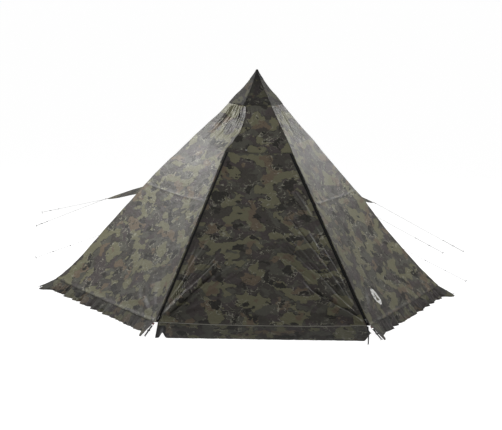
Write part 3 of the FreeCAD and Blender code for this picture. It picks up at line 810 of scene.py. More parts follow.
# Distance to the nearest seam or hem, down the cloth.
def panelAway(name, z, side):
    ridge = (halfWidth(z) - abs(side)) / squareToRidge
    seam = (tent["seam"] - z) / math.sin(facetSlope)
    hemAway = (z - tent["hem"]) / math.sin(facetSlope)
    ways = [ridge, seam if seam >= -0.0006 else 1.0, hemAway if z < 0.2 else 1.0]
    if name == "front":
        ways.append((z - tent["doorTop"]) / math.sin(facetSlope))
    if name in ("left_rear", "right_rear"):
        dx = abs(side) - canopy["windowHalf"]
        dz = max(canopy["windowLow"] - z, z - canopy["windowHigh"]) / math.sin(facetSlope)
        ways.append(max(0.0, max(dx, dz)))
    return max(0.0, min(ways))


# Where a point was on the printed cloth before the panel was cut and sewn.
def panelCut(name, z, side):
    seed = facetSeed[name] + (0.0 if z > tent["seam"] - 0.001 else 5.13)
    return (side + seed * 1.37, upSlope(z) + seed * 0.61)


def makeCanopy():
    rows, order = canopyRows(), list(facets)
    index, points, away = {}, [], []

    def vertexAt(number, column, row):
        name = order[number % 6]
        count = canopy["columns"][name]
        if column == count:
            return vertexAt(number + 1, 0, row)
        key = (number % 6, column, row)
        if key not in index:
            z = rows[row]
            side = halfWidth(z) * (2 * column / count - 1)
            index[key] = len(points)
            points.append(facetPoint(name, z, side, layerLift(z)))
            away.append(panelAway(name, z, side))
        return index[key]

    faces, cut = [], []
    for number, name in enumerate(order):
        count = canopy["columns"][name]
        for row in range(len(rows) - 1):
            if name == "front" and rows[row + 1] < tent["doorTop"] - 1e-6:
                break
            middle = (rows[row] + rows[row + 1]) / 2
            for column in range(count):
                corners = ((column, row), (column, row + 1), (column + 1, row + 1), (column + 1, row))
                faces.append(tuple(vertexAt(number, c, r) for c, r in corners))
                shift = panelCut(name, middle, 0.0)
                cut.append([(halfWidth(rows[r]) * (2 * c / count - 1) + shift[0],
                             upSlope(rows[r]) - upSlope(middle) + shift[1]) for c, r in corners])
    piece = sheetMesh("canopy", points, faces, cut, away)
    cutWindows(piece)
    thicken(piece, 50, fromAxis)
    replaced = [name + "_lower_panel" for name in order if name != "front"]
    replaced += [name + "_upper_panel" for name in order]
    placeIn(piece, "tent", "camo_cloth", finish["camo_cloth"], replaced)


# Opens the two rear windows along straight lines.
def cutWindows(piece):
    mesh = bmesh.new()
    mesh.from_mesh(piece.data)
    for name in ("left_rear", "right_rear"):
        across, out = tangent(facets[name]), radial(facets[name])

        def near(face, slack):
            middle = face.calc_center_median()
            return (middle.dot(out) > 0.8 and abs(middle.dot(across)) < canopy["windowHalf"] + slack
                    and canopy["windowLow"] - slack < middle.z < canopy["windowHigh"] + slack)

        cuts = [(across * canopy["windowHalf"], across), (-across * canopy["windowHalf"], across),
                (upWay * canopy["windowLow"], upWay), (upWay * canopy["windowHigh"], upWay)]
        for place, normal in cuts:
            chosen = [f for f in mesh.faces if near(f, 0.06)]
            geometry = chosen + list({e for f in chosen for e in f.edges})
            geometry += list({v for f in chosen for v in f.verts})
            bmesh.ops.bisect_plane(mesh, geom=geometry, plane_co=place, plane_no=normal, dist=1e-5)
        bmesh.ops.delete(mesh, geom=[f for f in mesh.faces if near(f, 0.0)], context="FACES")
    mesh.to_mesh(piece.data)
    mesh.free()


makeCanopy()
print("canopy sewn")


# the door and its zips

door = {
    "edge": 0.039,                # ridge to the door's edge
    "columns": 190, "rows": 150,
    "flat": (2.19, 2.11), "area": 3.02,
    "leftFlap": 0.023, "rightFlap": 0.015,
    "flapLift": 0.0098,
    "coil": 0.025, "coilLift": 0.0016, "pitch": 0.0050,   # into the facet, off it, tooth to tooth
    "tape": ((0.002, 0.0), (0.012, 0.0006), (0.0215, 0.0008), (0.0285, 0.0008), (0.036, 0.0006),
             (0.0435, 0.0002)),
    "slider": 0.070,              # the slider's place, up the ridge from the hem
}


def doorSide(z, u):
    return u * (halfWidth(z) - door["edge"] * squareToRidge)


def makeDoor():
    bottom, top = tent["hem"], tent["doorTop"] - 0.0002
    rows = steps(top, 0.140, door["rows"]) + [0.1385, bottom]

    def away(u, z):
        edge = (1 - abs(u)) * doorSide(z, 1)
        return min(edge, (z - bottom) / math.sin(facetSlope), (top - z) / math.sin(facetSlope) + 0.002)

    piece = gridSheet("door_sheet", lambda u, z: facetPoint("front", z, doorSide(z, u), layerLift(z)),
                      steps(-1, 1, door["columns"]), rows,
                      lambda u, z: (doorSide(z, u) + 31.7, upSlope(z) + 4.2), away,
                      outward=fromAxis, angle=55)
    placeIn(piece, "door", "camo_cloth", doorCloth, ["door_panel"])


# A long strip beside a front ridge, through (distance into the facet, lift).
def stripSheet(name, corner, section, low, high, count, wave=0.0, thick=0.0008, seed=1.0):
    way = 1 if corner == 300 else -1

    def pointAt(u, z):
        k = int(u)
        into, lift = section[k]
        ripple = wave * noise.noise(Vector((z * 7.0, seed, k * 0.25)))
        return alongRidge(corner, z, into + ripple * 0.4, lift + ripple)

    order = range(len(section)) if way > 0 else range(len(section) - 1, -1, -1)
    return gridSheet(name, pointAt, list(order), steps(high, low, count),
                     lambda u, z: (section[int(u)][0] + seed, upSlope(z)),
                     lambda u, z: section[-1][0] - section[int(u)][0] + 0.001,
                     thick=thick, outward=lambda c: Vector((0, -0.79, 0.62)), angle=60)


def makeZips():
    low, high = tent["hem"] + 0.004, tent["doorTop"] - 0.008
    tooth = makeTooth()
    for side, corner in (("left", 240), ("right", 300)):
        wide = door[side + "Flap"]
        lift = door["flapLift"]
        section = [(0.0004, 0.0010), (0.0025, 0.0045), (0.006, 0.0080), (wide * 0.5, lift + 0.0006),
                   (wide * 0.8, lift), (wide, lift - 0.0008), (wide + 0.0012, lift - 0.0022),
                   (wide + 0.0004, lift - 0.0032)]
        flap = stripSheet(side + "_flap", corner, section, low, high + 0.030, 150,
                          wave=0.0016, seed=corner / 100)
        placeIn(flap, "tent", "camo_cloth", finish["camo_cloth"], [side + "_storm_flap"])
        tape = stripSheet(side + "_zip_tape", corner, door["tape"], low - 0.002, high + 0.006, 110,
                          wave=0.0004, thick=0.0009, seed=corner / 50)
        teeth = bmesh.new()
        along = math.hypot(tent["hemRadius"], riseOfTent) / riseOfTent
        count = int((high - low) * along / door["pitch"])
        for k in range(count + 1):
            z = low + (high - low) * k / count
            here = alongRidge(corner, z, door["coil"], door["coilLift"])
            ahead = (alongRidge(corner, z + 0.002, door["coil"], door["coilLift"]) - here).normalized()
            into = (alongRidge(corner, z, 0.030, door["coilLift"]) - here).normalized() * (1 if k % 2 else -1)
            off = into.cross(ahead).normalized()
            if off.y > 0:
                off = -off
            ahead = off.cross(into)
            turn = Matrix((into, ahead, off)).transposed().to_4x4()
            part = tooth.data.copy()
            part.transform(Matrix.Translation(here) @ turn)
            teeth.from_mesh(part)
            bpy.data.meshes.remove(part)
        mesh = bpy.data.meshes.new(side + "_teeth")
        teeth.to_mesh(mesh)
        teeth.free()
        piece = bpy.data.objects.new(side + "_zip_teeth", mesh)
        bpy.context.collection.objects.link(piece)
        placeIn(piece, "tent", "zip_tape", finish["black_plastic"])
        placeIn(tape, "tent", "zip_tape", finish["zip_tape"], [side + "_zip"])
    bpy.data.objects.remove(tooth)


# One turn of the zip's coil: a low bar with a bead at its inner end.
def makeTooth():
    clearSelection()
    bpy.ops.mesh.primitive_cube_add(size=1, location=(0, 0, 0), scale=(0.0058, 0.0019, 0.0016))
    piece = bpy.context.object
    bpy.ops.object.transform_apply(scale=True)
    bpy.ops.object.mode_set(mode="EDIT")
    mesh = bmesh.from_edit_mesh(piece.data)
    for face in mesh.faces:
        face.select = face.normal.x > 0.9
    bmesh.update_edit_mesh(piece.data)
    bpy.ops.mesh.extrude_region_move(TRANSFORM_OT_translate={"value": (0.0008, 0, 0)})
    bpy.ops.transform.resize(value=(1, 1.25, 1.25))
    bpy.ops.mesh.select_all(action="DESELECT")
    bpy.ops.object.mode_set(mode="OBJECT")
    return piece


makeDoor()
makeZips()
print("door and zips made")


# small hard pieces, made at the origin and then set in place

def setFrame(piece, centre, xWay, yWay, zWay):
    piece.data.transform(Matrix.Translation(centre) @ Matrix((xWay, yWay, zWay)).transposed().to_4x4())
    piece.data.update()
    return piece


def boxPiece(size, centre=(0, 0, 0)):
    clearSelection()
    bpy.ops.mesh.primitive_cube_add(size=1, location=centre)
    piece = bpy.context.object
    piece.scale = size
    bpy.ops.object.transform_apply(location=True, rotation=True, scale=True)
    return piece


# Opens a piece for editing with the picked faces selected.
def editFaces(piece, picked):
    choose(piece)
    bpy.ops.object.mode_set(mode="EDIT")
    bpy.ops.mesh.select_mode(type="FACE")
    bpy.ops.mesh.select_all(action="DESELECT")
    mesh = bmesh.from_edit_mesh(piece.data)
    for face in mesh.faces:
        face.select = bool(picked(face))
    bmesh.update_edit_mesh(piece.data)


def leaveEdit():
    bpy.ops.mesh.select_all(action="DESELECT")
    bpy.ops.object.mode_set(mode="OBJECT")


def soften(piece, width, segments=2, angle=35):
    edge = piece.modifiers.new("soft edges", "BEVEL")
    edge.width, edge.segments = width, segments
    edge.limit_method, edge.angle_limit = "ANGLE", math.radians(angle)
    applyAll(piece)
    bpy.ops.object.shade_smooth_by_angle(angle=math.radians(38))
    return piece


# A zip slider: a waisted body with a bridge, and a hanging pull with an eye. X across, Y up the zip.
def makeSlider():
    body = boxPiece((0.015, 0.024, 0.0052), (0, 0, 0.0034))
    editFaces(body, lambda f: f.normal.z > 0.9)
    bpy.ops.mesh.inset(thickness=0.0022, depth=0)
    bpy.ops.transform.translate(value=(0, 0, 0.0011))
    leaveEdit()
    for vertex in body.data.vertices:
        if vertex.co.y < -0.010:
            vertex.co.x *= 0.66
    soften(body, 0.0008)
    bridge = boxPiece((0.0034, 0.013, 0.0016), (0, 0.001, 0.0080))
    editFaces(bridge, lambda f: abs(f.normal.y) > 0.9)
    bpy.ops.mesh.extrude_region_move(TRANSFORM_OT_translate={"value": (0, 0, -0.0026)})
    leaveEdit()
    soften(bridge, 0.0005)
    pull = boxPiece((0.0080, 0.030, 0.0013), (0, -0.0215, 0.0088))
    editFaces(pull, lambda f: abs(f.normal.z) > 0.9)
    bpy.ops.mesh.inset(thickness=0.0018, depth=-0.0003)
    leaveEdit()
    for vertex in pull.data.vertices:
        if vertex.co.y > -0.010:
            vertex.co.x *= 0.7
    soften(pull, 0.0004)
    return joinPieces("slider", [body, bridge, pull])


def placeSliders():
    master = makeSlider()
    for side, corner in (("left", 240), ("right", 300)):
        z = tent["hem"] + door["slider"] * math.sin(ridgeSlope)
        here = alongRidge(corner, z, door["coil"], 0.0006)
        ahead = (ridgePoint(corner, z + 0.05) - ridgePoint(corner, z)).normalized()
        off = facetNormal("front")
        piece = copyOf(master, side + "_slider_piece", Matrix.Identity(4))
        setFrame(piece, here, ahead.cross(off).normalized(), ahead, off)
        placeIn(piece, side + "_slider", "zip_metal", finish["zip_metal"], [side + "_zip_slider"])
    bpy.data.objects.remove(master)


placeSliders()


# Flat webbing along a path: a strip extruded from point to point, then thickened.
def ribbon(name, path, across, width, thick):
    clearSelection()
    bpy.ops.mesh.primitive_plane_add(size=1, location=(0, 0, 0))
    piece = bpy.context.object
    side = across.normalized() * width / 2
    corners = (path[0] - side, path[0] + side, path[1] - side, path[1] + side)
    for vertex, place in zip(piece.data.vertices, corners):
        vertex.co = place
    bpy.ops.object.mode_set(mode="EDIT")
    bpy.ops.mesh.select_mode(type="EDGE")
    bpy.ops.mesh.select_all(action="DESELECT")
    mesh = bmesh.from_edit_mesh(piece.data)
    mesh.verts.ensure_lookup_table()
    for edge in mesh.edges:
        edge.select = all((v.co - path[1]).length < width * 0.51 and abs((v.co - path[1]).dot(side)) > 0
                          and v.index in (2, 3) for v in edge.verts)
    bmesh.update_edit_mesh(piece.data)
    for a, b in zip(path[1:], path[2:]):
        bpy.ops.mesh.extrude_region_move(TRANSFORM_OT_translate={"value": b - a})
    leaveEdit()
    wall = piece.modifiers.new("wall", "SOLIDIFY")
    wall.thickness, wall.offset = thick, 0
    soften(piece, thick * 0.3, 1, 50)
    piece.name = piece.data.name = name
    return piece


def webbing(name, path, across, width=None):
    return ribbon(name, path, across, width or strap["wide"], strap["thick"])


# Webbing doubled round a ring's near wire: out on top, round, and back underneath.
def foldedPath(start, centre, across, ringLength=0.022, wire=0.0018, gap=0.0006, bow=0.0):
    way = (centre - start).normalized()
    normal = way.cross(across).normalized()
    eye = centre - way * ringLength / 2
    reach = wire + gap
    path = [start + normal * gap]
    middle = (start + eye) / 2
    path.append(middle + normal * (gap + 0.0003 + bow))
    for k in range(9):
        a = math.pi / 2 - math.pi * k / 8
        path.append(eye + normal * math.sin(a) * reach + way * math.cos(a) * reach)
    path.append(middle - normal * (gap + 0.0003 - bow))
    path.append(start - normal * gap)
    return path


strap = {
    "wide": 0.018, "thick": 0.0008, "hookWide": 0.013,
    "guyRidge": {"left": 1.140, "right": 1.320},      # heights where the back and side lines leave the cloth
    "guyPatch": {"left": 0.680, "right": 0.740},
    "hookEnd": (1.071, -2.355, 0.014),
}


# Guy tabs, corner loops, peg straps and the loose hook strap.
def makeWebbing():
    tabs = []
    starts = {}
    for side, rear, hoodName in (("left", 120, "left_rear"), ("right", 60, "right_rear")):
        starts[side + "_back"] = ridgePoint(rear, strap["guyRidge"][side]) + radial(rear) * 0.0015
        starts[side + "_side"] = facetPoint(hoodName, strap["guyPatch"][side], 0, 0.002)
        starts[side + "_hood"] = hoodTip(side)
    for name, start in starts.items():
        centre, catch = Vector(guyLines[name][0]), Vector(guyLines[name][1])
        across = upWay.cross((centre - start).normalized()).normalized()
        tabs.append(webbing(name + "_web", foldedPath(start, centre, across), across))
    piece = joinPieces("guy_webbing", tabs)
    placeIn(piece, "tent", "red_webbing", finish["red_webbing"], ["guy_tabs"])
    start = radial(0) * 2.3005 + upWay * 0.114
    loopStart = radial(0) * 2.303 + upWay * 0.114
    ground = radial(0) * 2.475
    way = (ground + upWay * 0.020 - loopStart).normalized()
    across = upWay.cross(way).normalized()
    centre = loopStart + way * 0.034
    catch = ground + way.cross(across).normalized() * 0.020
    way = (catch - centre).normalized()
    lean = way.cross(across).normalized()
    loop = webbing("loop", foldedPath(start, centre, across), across)
    pegStrap = webbing("strap", foldedPath(catch + way * 0.007, centre, across), across)
    eyelet = torus(catch, lean, 0.0056, 0.0012)
    buckle = makeBuckle()
    setFrame(buckle, (centre + catch) * 0.5, across, way, across.cross(way).normalized())
    for label, source, slotName, replaced in (("corner_loop", loop, "red_webbing", "corner_loops"),
                                              ("peg_strap", pegStrap, "black_webbing", None),
                                              ("eyelet", eyelet, "bright_wire", None),
                                              ("buckle", buckle, "black_plastic", "strap_buckles")):
        copies = [copyOf(source, label, Matrix.Rotation(math.radians(turn), 4, "Z"))
                  for turn in range(0, 360, 60)]
        bpy.data.objects.remove(source)
        made = joinPieces(label + "s", copies)
        placeIn(made, "tent", slotName, finish[slotName], [replaced] if replaced else ())
    end = Vector(strap["hookEnd"])
    begin = ridgePoint(300, tent["hem"]) + Vector((-0.030, -0.002, -0.008))
    across = upWay.cross((end - begin).normalized()).normalized()
    path = foldedPath(begin, end, across)
    for place, drop in ((1, 0.006), (-2, 0.006)):
        path[place] = path[place] + Vector((0.004, -0.006, -drop))
    hookStrap = webbing("hook_strap", path, across, strap["hookWide"])
    placeIn(hookStrap, "tent", "black_webbing", finish["black_webbing"], ["corner_straps"])


# A ladder buckle: a frame with two bars, hollowed between them. X across the strap, Y along it.
def makeBuckle():
    frameBox = boxPiece((0.030, 0.022, 0.0066))
    for way in (1, -1):
        editFaces(frameBox, lambda f: f.normal.z * way > 0.9)
        bpy.ops.mesh.inset(thickness=0.0042, depth=0)
        bpy.ops.transform.translate(value=(0, 0, -0.0022 * way))
        leaveEdit()
    for vertex in frameBox.data.vertices:
        if abs(vertex.co.x) > 0.014 and abs(vertex.co.y) > 0.010:
            vertex.co.y *= 0.86
    soften(frameBox, 0.0009)
    bars = []
    for y in (-0.0035, 0.0035):
        bar = boxPiece((0.0215, 0.0030, 0.0062), (0, y, 0))
        editFaces(bar, lambda f: f.normal.z > 0.9)
        bpy.ops.mesh.inset(thickness=0.0006, depth=0)
        leaveEdit()
        bars.append(soften(bar, 0.0006))
    return joinPieces("buckle", [frameBox] + bars)


# A line runner: a waisted bar with two collared holes. X across the line, Y along it.
def makeRunner():
    body = boxPiece((0.034, 0.016, 0.0078))
    choose(body)
    bpy.ops.object.mode_set(mode="EDIT")
    bpy.ops.mesh.select_all(action="SELECT")
    bpy.ops.mesh.subdivide(number_cuts=5)
    leaveEdit()
    for vertex in body.data.vertices:
        share = abs(vertex.co.x) / 0.017
        vertex.co.y *= 1.0 - 0.30 * math.exp(-((share - 0.62) / 0.22) ** 2) - 0.25 * smooth(0.85, 1.0, share)
        vertex.co.z *= 1.0 - 0.35 * smooth(0.4, 1.0, share)
    soften(body, 0.0006, 2, 40)
    pieces = [body]
    for x in (-0.0047, 0.0047):
        for y in (-0.0078, 0.0078):
            pieces.append(torus(Vector((x, y, 0)), Vector((0, 1, 0)), 0.0023, 0.0007, 16, 6))
    for x in (-0.0125, 0.0125):
        for y in (-0.0025, 0.0, 0.0025):
            pieces.append(soften(boxPiece((0.0050, 0.0008, 0.0066), (x, y, 0)), 0.0002, 1))
    return joinPieces("runner", pieces)


def placeRunners():
    master = makeRunner()
    for name, (centre, catch, wholeLength) in guyLines.items():
        way, across = lineFrame(centre, catch)
        piece = copyOf(master, name + "_runner_piece", Matrix.Identity(4))
        setFrame(piece, Vector(catch) - way * gear["runner"], across, way, across.cross(way))
        placeIn(piece, name + "_tensioner", "black_plastic", finish["black_plastic"], [name + "_runner"])
    bpy.data.objects.remove(master)


# vent hoods over the rear windows

hood = {
    "half": 0.62, "foot": 0.108, "lift": 0.006, "tuck": 0.33, "columns": 60, "rows": 46,
    "sway": {"left": 0.170, "right": 0.066}, "flat": (1.28, 0.95), "area": 0.56,
    "length": 0.89, "fall": 0.36,  # seam to tip, and the share of it that goes down
}


def hoodTip(side):
    drop = hood["length"] * hood["fall"]
    out = math.sqrt(hood["length"] ** 2 - drop ** 2)
    azimuth = facets[side + "_rear"]
    reach = inRadius * (tent["apex"] - tent["seam"]) / riseOfTent + out
    return radial(azimuth) * reach + tangent(azimuth) * hood["sway"][side] + upWay * (tent["seam"] - drop)


def makeHood(side):
    name, tip = side + "_rear", hoodTip(side)
    azimuth = facets[name]

    def pointAt(u, v):
        narrow = u * (1 - hood["tuck"] * 3.6 * v * (1 - v))
        end = tip + tangent(azimuth) * u * 0.011
        z = tent["seam"] - 0.012 - hood["foot"] * abs(narrow) ** 1.35
        base = facetPoint(name, z, hood["half"] * narrow, hood["lift"])
        point = base.lerp(end, v * 0.99)
        arch = (1 - abs(u) ** 1.7) * math.sin(math.pi * v) ** 0.9
        ripple = noise.noise(Vector((u * 4.0, v * 5.0, azimuth))) * 0.006 * math.sin(math.pi * v)
        ripple *= 1 - abs(u) ** 4
        return point + upWay * (arch * 0.020 + ripple - 0.030 * abs(u) ** 2 * math.sin(math.pi * v) ** 0.7)

    def away(u, v):
        return min((1 - abs(u)) * hood["half"] * (1 - v) + 0.0005, v * 0.9)

    piece = gridSheet(side + "_hood_sheet", pointAt, steps(-1, 1, hood["columns"]), steps(0, 1, hood["rows"]),
                      lambda u, v: (u * 0.62 * (1 - v) + azimuth * 0.1, v * 0.95), away,
                      outward=lambda c: upWay, angle=55)
    placeIn(piece, "tent", "camo_cloth", hoodCloth, [side + "_vent_hood"])


def makeWindowNets():
    nets = []
    for side in ("left", "right"):
        name = side + "_rear"
        half = canopy["windowHalf"] + 0.020
        low, high = canopy["windowLow"] - 0.016, canopy["windowHigh"] + 0.016
        nets.append(gridSheet(side + "_net", lambda s, z: facetPoint(name, z, s, -0.0022),
                              steps(-half, half, 44), steps(high, low, 26), lambda s, z: (s, upSlope(z)),
                              outward=fromAxis, thick=0.0003))
    piece = joinPieces("window_nets", nets)
    placeIn(piece, "tent", "net", finish["net"], ["window_meshes"])


makeHood("left")
makeHood("right")
makeWindowNets()
makeWebbing()
placeRunners()
print("hoods, nets and webbing made")


# skirts

skirt = {
    "topRadius": 1.9825, "topHeight": 0.1245,
    "doorTop": 1.110, "doorLow": 1.140, "fixedTop": 1.145, "fixedLow": 1.205,    # half lengths
    "flare": 0.205,               # reach of cloth that is pulled out straight
    "hang": 0.100, "foot": 0.62,  # cloth left to hang: its reach, and the share of it above the ground
    "tuck": 0.070, "ripple": 0.020, "rows": 16,
}


def makeSkirt(name, azimuth, topHalf, lowHalf, body, replaced, seed):
    out, side = radial(azimuth), tangent(azimuth)
    facet = [key for key, value in facets.items() if value == azimuth][0]
    spread = body == "door"

    def pointAt(u, v):
        pulled = 1.0 if spread else smooth(0.80, 0.99, abs(u))
        uneven = noise.noise(Vector((u * 13, 3.0, seed))) + 0.5 * noise.noise(Vector((u * 31, 5.0, seed)))
        down = min(1.0, v / skirt["foot"])
        hangReach = skirt["hang"] * (1 + 0.5 * uneven) * down
        hangReach -= skirt["tuck"] * max(0.0, (v - skirt["foot"]) / (1 - skirt["foot"]))
        reach = hangReach + (skirt["flare"] * (1 + 0.06 * uneven) * v - hangReach) * pulled
        drop = down + (v - down) * pulled
        place = Vector((u * 9.0, v * 0.8, seed))
        fold = noise.noise(place) + 0.6 * noise.noise(place * 2.9)
        reach += skirt["ripple"] * fold * down * (0.45 if spread else 1.0) * (1 - 0.4 * v)
        z = skirt["topHeight"] * (1 - drop) + 0.0040 * drop
        z += (0.006 if spread else 0.012) * max(0.0, uneven + 0.1) * smooth(0.4, 1, drop)
        across = u * topHalf / halfWidth(tent["hem"])
        z -= tent["hemDrop"][facet] * (1 - across * across) * (1 - drop)
        if spread:
            turned = 0.050 * math.exp(-((u + 0.935) / 0.020) ** 2) + 0.075 * smooth(0.915, 1.0, u)
            z += turned * v ** 2
            reach -= 0.6 * turned * v ** 2
        half = topHalf + (lowHalf - topHalf) * drop
        slide = 0.012 * noise.noise(Vector((u * 7, 1, seed))) * v
        return out * (skirt["topRadius"] + reach) + side * (u * half + slide) + upWay * max(z, 0.0036)

    piece = gridSheet(name, pointAt, steps(-1, 1, 240), steps(0, 1, skirt["rows"]),
                      lambda u, v: (u * 1.1 + seed * 3, v * 0.236),
                      lambda u, v: min((1 - v) * 0.236, (1 - abs(u)) * 1.1),
                      outward=fromAxis, angle=60, thick=0.0008)
    lining = piece.data.attributes.new("turned", "FLOAT", "POINT")
    edge = -topHalf * 0.925
    lining.data.foreach_set("value", [1.0 if spread and v.co.x < edge and v.co.z < 0.098 else 0.0
                                      for v in piece.data.vertices])
    placeIn(piece, body, "skirt_cloth", finish["skirt_cloth"], [replaced])


makeSkirt("door_skirt_sheet", 270, skirt["doorTop"], skirt["doorLow"], "door", "door_skirt", 2.2)
for facetName in ("right_front", "right_rear", "rear", "left_rear", "left_front"):
    makeSkirt(facetName + "_skirt", facets[facetName], skirt["fixedTop"], skirt["fixedLow"], "tent", "skirts",
              facetSeed[facetName])
print("skirts hung")


# the peak: cap, black tip, vent net, pocket and pad

peak = {
    "cap": ((2.266, 0.321), (2.291, 0.302), (2.315, 0.282), (2.337, 0.263), (2.373, 0.232), (2.409, 0.193),
            (2.457, 0.150), (2.517, 0.103), (2.578, 0.060), (2.626, 0.027), (2.662, 0.007)),
    "tip": ((2.552, 0.0800), (2.578, 0.0612), (2.626, 0.0282), (2.6645, 0.0085)),
    "under": ((2.262, 0.302), (2.34, 0.236), (2.42, 0.170), (2.50, 0.101), (2.60, 0.036), (2.64, 0.010)),
    "gather": 0.006,
}


def capRadius(rings, z):
    for (a, x), (b, y) in zip(rings, rings[1:]):
        if a <= z <= b:
            return x + (y - x) * (z - a) / (b - a)
    return rings[-1][1] if z > rings[-1][0] else rings[0][1]


# A six-sided shell of cloth round the pole, with hollow sides and a curved rim.
def hexSheet(name, rings, low, high, rows, thick, hollow=0.0, dip=0.0, gather=0.0, perSide=14, offset=0.0):
    total = perSide * 6

    def pointAt(k, z):
        turn = k / perSide
        number, share = int(turn) % 6, turn - int(turn)
        bow = 4 * share * (1 - share)
        height = z + dip * bow * (1 - (z - low) / (high - low))
        r = capRadius(rings, z) + offset
        a, b = radial(number * 60) * r, radial(number * 60 + 60) * r
        point = a.lerp(b, share)
        angle = math.radians(turn * 60)
        wave = noise.noise(Vector((math.cos(angle) * 3, math.sin(angle) * 3, z * 6)))
        mid = point.normalized() if point.length > 1e-6 else Vector((0, 0, 0))
        point = point - mid * (hollow * bow * r * smooth(low, low + 0.08, z)) + mid * gather * wave * bow
        return Vector((point.x, point.y, height))

    def cutAt(k, z):
        return (k / total * 1.2 + 8.3, z * 1.3)

    piece = gridSheet(name, pointAt, list(range(total + 1)), steps(high, low, rows), cutAt,
                      lambda k, z: min(abs((k / perSide + 0.5) % 1 - 0.5) * capRadius(rings, z),
                                       (z - low) * 1.3),
                      thick=thick, outward=fromAxis, angle=50)
    return piece


def closeSeam(piece):
    choose(piece)
    bpy.ops.object.mode_set(mode="EDIT")
    bpy.ops.mesh.select_all(action="SELECT")
    bpy.ops.mesh.remove_doubles(threshold=0.00005)
    leaveEdit()


def makePeak():
    cap = hexSheet("cap_sheet", peak["cap"], 2.266, 2.662, 38, 0.0014, hollow=0.03, dip=0.003,
                   gather=peak["gather"])
    placeIn(cap, "tent", "camo_cloth", capCloth, ["peak_cap"])
    tip = hexSheet("tip_sheet", peak["tip"], 2.552, 2.6645, 10, 0.0016, hollow=0.02, offset=0.0016)
    placeIn(tip, "tent", "black_cloth", finish["black_cloth"], ["peak_tip"])
    line = peak["under"]
    net = hexSheet("vent_net", line, 2.264, 2.470, 10, 0.0004, hollow=0.01)
    placeIn(net, "tent", "net", finish["net"], ["vent_mesh"])
    pocket = hexSheet("pocket_sheet", line, 2.4705, 2.634, 10, 0.0018, hollow=0.01)
    placeIn(pocket, "tent", "black_cloth", finish["black_cloth"], ["peak_pocket"])


makePeak()


# The pad on the pole's top, crowned and seamed round its edge.
def makePad():
    low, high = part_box("peak_pad")
    clearSelection()
    bpy.ops.mesh.primitive_cylinder_add(vertices=36, radius=0.055, depth=0.007,
                                        location=(0, 0, (low.z + high.z) / 2))
    piece = bpy.context.object
    bpy.ops.object.transform_apply(location=True, rotation=True, scale=True)
    editFaces(piece, lambda f: abs(f.normal.z) > 0.9)
    bpy.ops.mesh.inset(thickness=0.006, depth=0.0)
    bpy.ops.mesh.inset(thickness=0.020, depth=0.0006)
    leaveEdit()
    soften(piece, 0.0016, 2, 30)
    piece.name = piece.data.name = "pad_piece"
    layer = piece.data.uv_layers.active or piece.data.uv_layers.new(name="cut")
    layer.name = "cut"
    placeIn(piece, "tent", "black_cloth", finish["black_cloth"], ["peak_pad"])


makePad()


# trim: ridge tapes, emblem, door tie

def makeRidgeTapes():
    tapes = []
    for corner in range(0, 360, 60):
        left = [name for name, azimuth in facets.items() if (azimuth + 30) % 360 == corner][0]
        right = [name for name, azimuth in facets.items() if (azimuth - 30) % 360 == corner][0]

        def pointAt(u, z):
            if u < 0:
                return facetPoint(left, z, halfWidth(z) + u, -0.0022)
            if u > 0:
                return facetPoint(right, z, -halfWidth(z) + u, -0.0022)
            return ridgePoint(corner, z) - radial(corner) * 0.0026

        tapes.append(gridSheet("tape", pointAt, [-0.016, -0.008, 0, 0.008, 0.016], steps(2.27, 0.15, 110),
                               lambda u, z: (u + corner, upSlope(z)), outward=fromAxis, thick=0.0005))
    piece = joinPieces("ridge_tape_sheets", tapes)
    placeIn(piece, "tent", "seam_tape", finish["seam_tape"], ["ridge_tapes"])


emblem = {
    "side": -0.579, "height": 0.316, "half": (0.078, 0.105),
    "triangle": ((0, 0.062), (0.040, -0.050), (-0.040, -0.050)),
}


# A plain oval print with a blank triangle in it, laid on the cloth.
def makeEmblem():
    count, rings = 72, 12
    corners = [Vector(p) for p in emblem["triangle"]]

    def inner(a):
        ray = Vector((math.cos(a), math.sin(a)))
        best = None
        for p, q in zip(corners, corners[1:] + corners[:1]):
            edge = q - p
            cross = ray.x * edge.y - ray.y * edge.x
            if abs(cross) > 1e-9:
                far = (p.x * edge.y - p.y * edge.x) / cross
                share = (p.x * ray.y - p.y * ray.x) / cross
                if far > 0 and -1e-6 <= share <= 1 + 1e-6:
                    best = far if best is None else min(best, far)
        return ray * best

    def pointAt(k, v):
        a = 2 * math.pi * k / count + 0.3
        outer = Vector((math.cos(a) * emblem["half"][0], math.sin(a) * emblem["half"][1]))
        place = inner(a).lerp(outer, v)
        return facetPoint("right_front", emblem["height"] + place.y * math.sin(facetSlope),
                          emblem["side"] + place.x, 0.0011)

    piece = gridSheet("emblem_print", pointAt, list(range(count + 1)), steps(0, 1, rings),
                      lambda k, v: (k / count, v * 0.1), thick=0.0003, outward=fromAxis)
    closeSeam(piece)
    placeIn(piece, "tent", "print_white", finish["print_white"], ["emblem"])


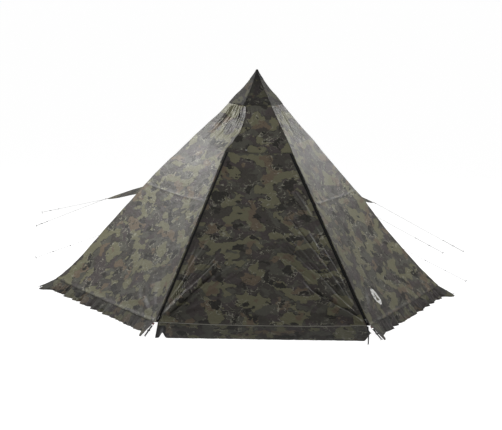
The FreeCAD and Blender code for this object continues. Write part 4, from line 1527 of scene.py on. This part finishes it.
def makeDoorTie():
    z, side = tent["doorTop"] + 0.030, -0.150
    off = facetNormal("front")
    middle = facetPoint("front", z, side, 0.0030)
    ring = torus(middle, off, 0.009, 0.0016, 28, 10)
    ring.name = ring.data.name = "door_tie_ring_piece"
    placeIn(ring, "tent", "bright_wire", finish["bright_wire"], ["door_tie_ring"])
    up = off.cross(tangent(270)).normalized()
    up = up if up.z > 0 else -up
    start = facetPoint("front", z + 0.030, side, 0.0022)
    path = [start, facetPoint("front", z + 0.018, side, 0.0028)]
    top = middle + up * 0.009
    for k in range(7):
        a = math.pi / 2 - math.pi * k / 6
        path.append(top + off * math.sin(a) * 0.0024 - up * math.cos(a) * 0.0024)
    path.append(facetPoint("front", z + 0.018, side, 0.0016))
    tab = ribbon("door_tie_web", path, tangent(270), 0.012, 0.0008)
    placeIn(tab, "tent", "black_webbing", finish["black_webbing"], ["door_tie_tab"])


makeRidgeTapes()
makeEmblem()
makeDoorTie()
print("peak and trim made")


# floor, light and world

lights = {
    # where it stands, what it points at, its size and its power
    "leftBox": ((-4.0, -0.2, 4.4), (-0.7, -0.2, 1.5), (1.8, 1.8), 175),
    "rightBox": ((4.0, -0.2, 4.4), (0.7, -0.2, 1.5), (1.8, 1.8), 140),
    "leftRim": ((-2.9, 1.5, 3.7), (-0.6, 0.0, 1.9), (1.2, 1.2), 74),
    "rightRim": ((3.0, 1.7, 3.4), (0.6, 0.0, 1.8), (1.2, 1.2), 46),
    "frontBox": ((-1.5, -4.2, 6.0), (0.0, -0.8, 1.4), (2.0, 1.2), 22),
    "backBox": ((0.0, 5.0, 5.5), (0.0, 0.8, 1.2), (3.0, 2.0), 120),
}


def softBox(name, at, target, size, power):
    data = bpy.data.lights.new(name, "AREA")
    data.shape, data.size, data.size_y, data.energy = "RECTANGLE", size[0], size[1], power
    light = bpy.data.objects.new(name, data)
    light.location = at
    light.rotation_euler = (Vector(at) - Vector(target)).to_track_quat("Z", "Y").to_euler()
    bpy.context.collection.objects.link(light)


def makeStage():
    clearSelection()
    bpy.ops.mesh.primitive_plane_add(size=600, location=(0, 0, 0))
    floor = bpy.context.object
    floor.name = "floor"
    made, _, shader = newMaterial("floor")
    shader.inputs["Base Color"].default_value = (0.22, 0.22, 0.22, 1)
    shader.inputs["Roughness"].default_value = 0.9
    shader.inputs["Specular IOR Level"].default_value = 0.0
    shader.inputs["Emission Color"].default_value = (1, 1, 1, 1)
    shader.inputs["Emission Strength"].default_value = 0.975
    floor.data.materials.append(made)
    world = bpy.data.worlds.new("world")
    bpy.context.scene.world = world
    world.use_nodes = True
    world.node_tree.nodes["Background"].inputs[0].default_value = (1, 1, 1, 1)
    world.node_tree.nodes["Background"].inputs[1].default_value = 0.08
    for name, box in lights.items():
        softBox(name, *box)
    bpy.context.scene.view_settings.view_transform = "Standard"


makeStage()
print("scene ready")
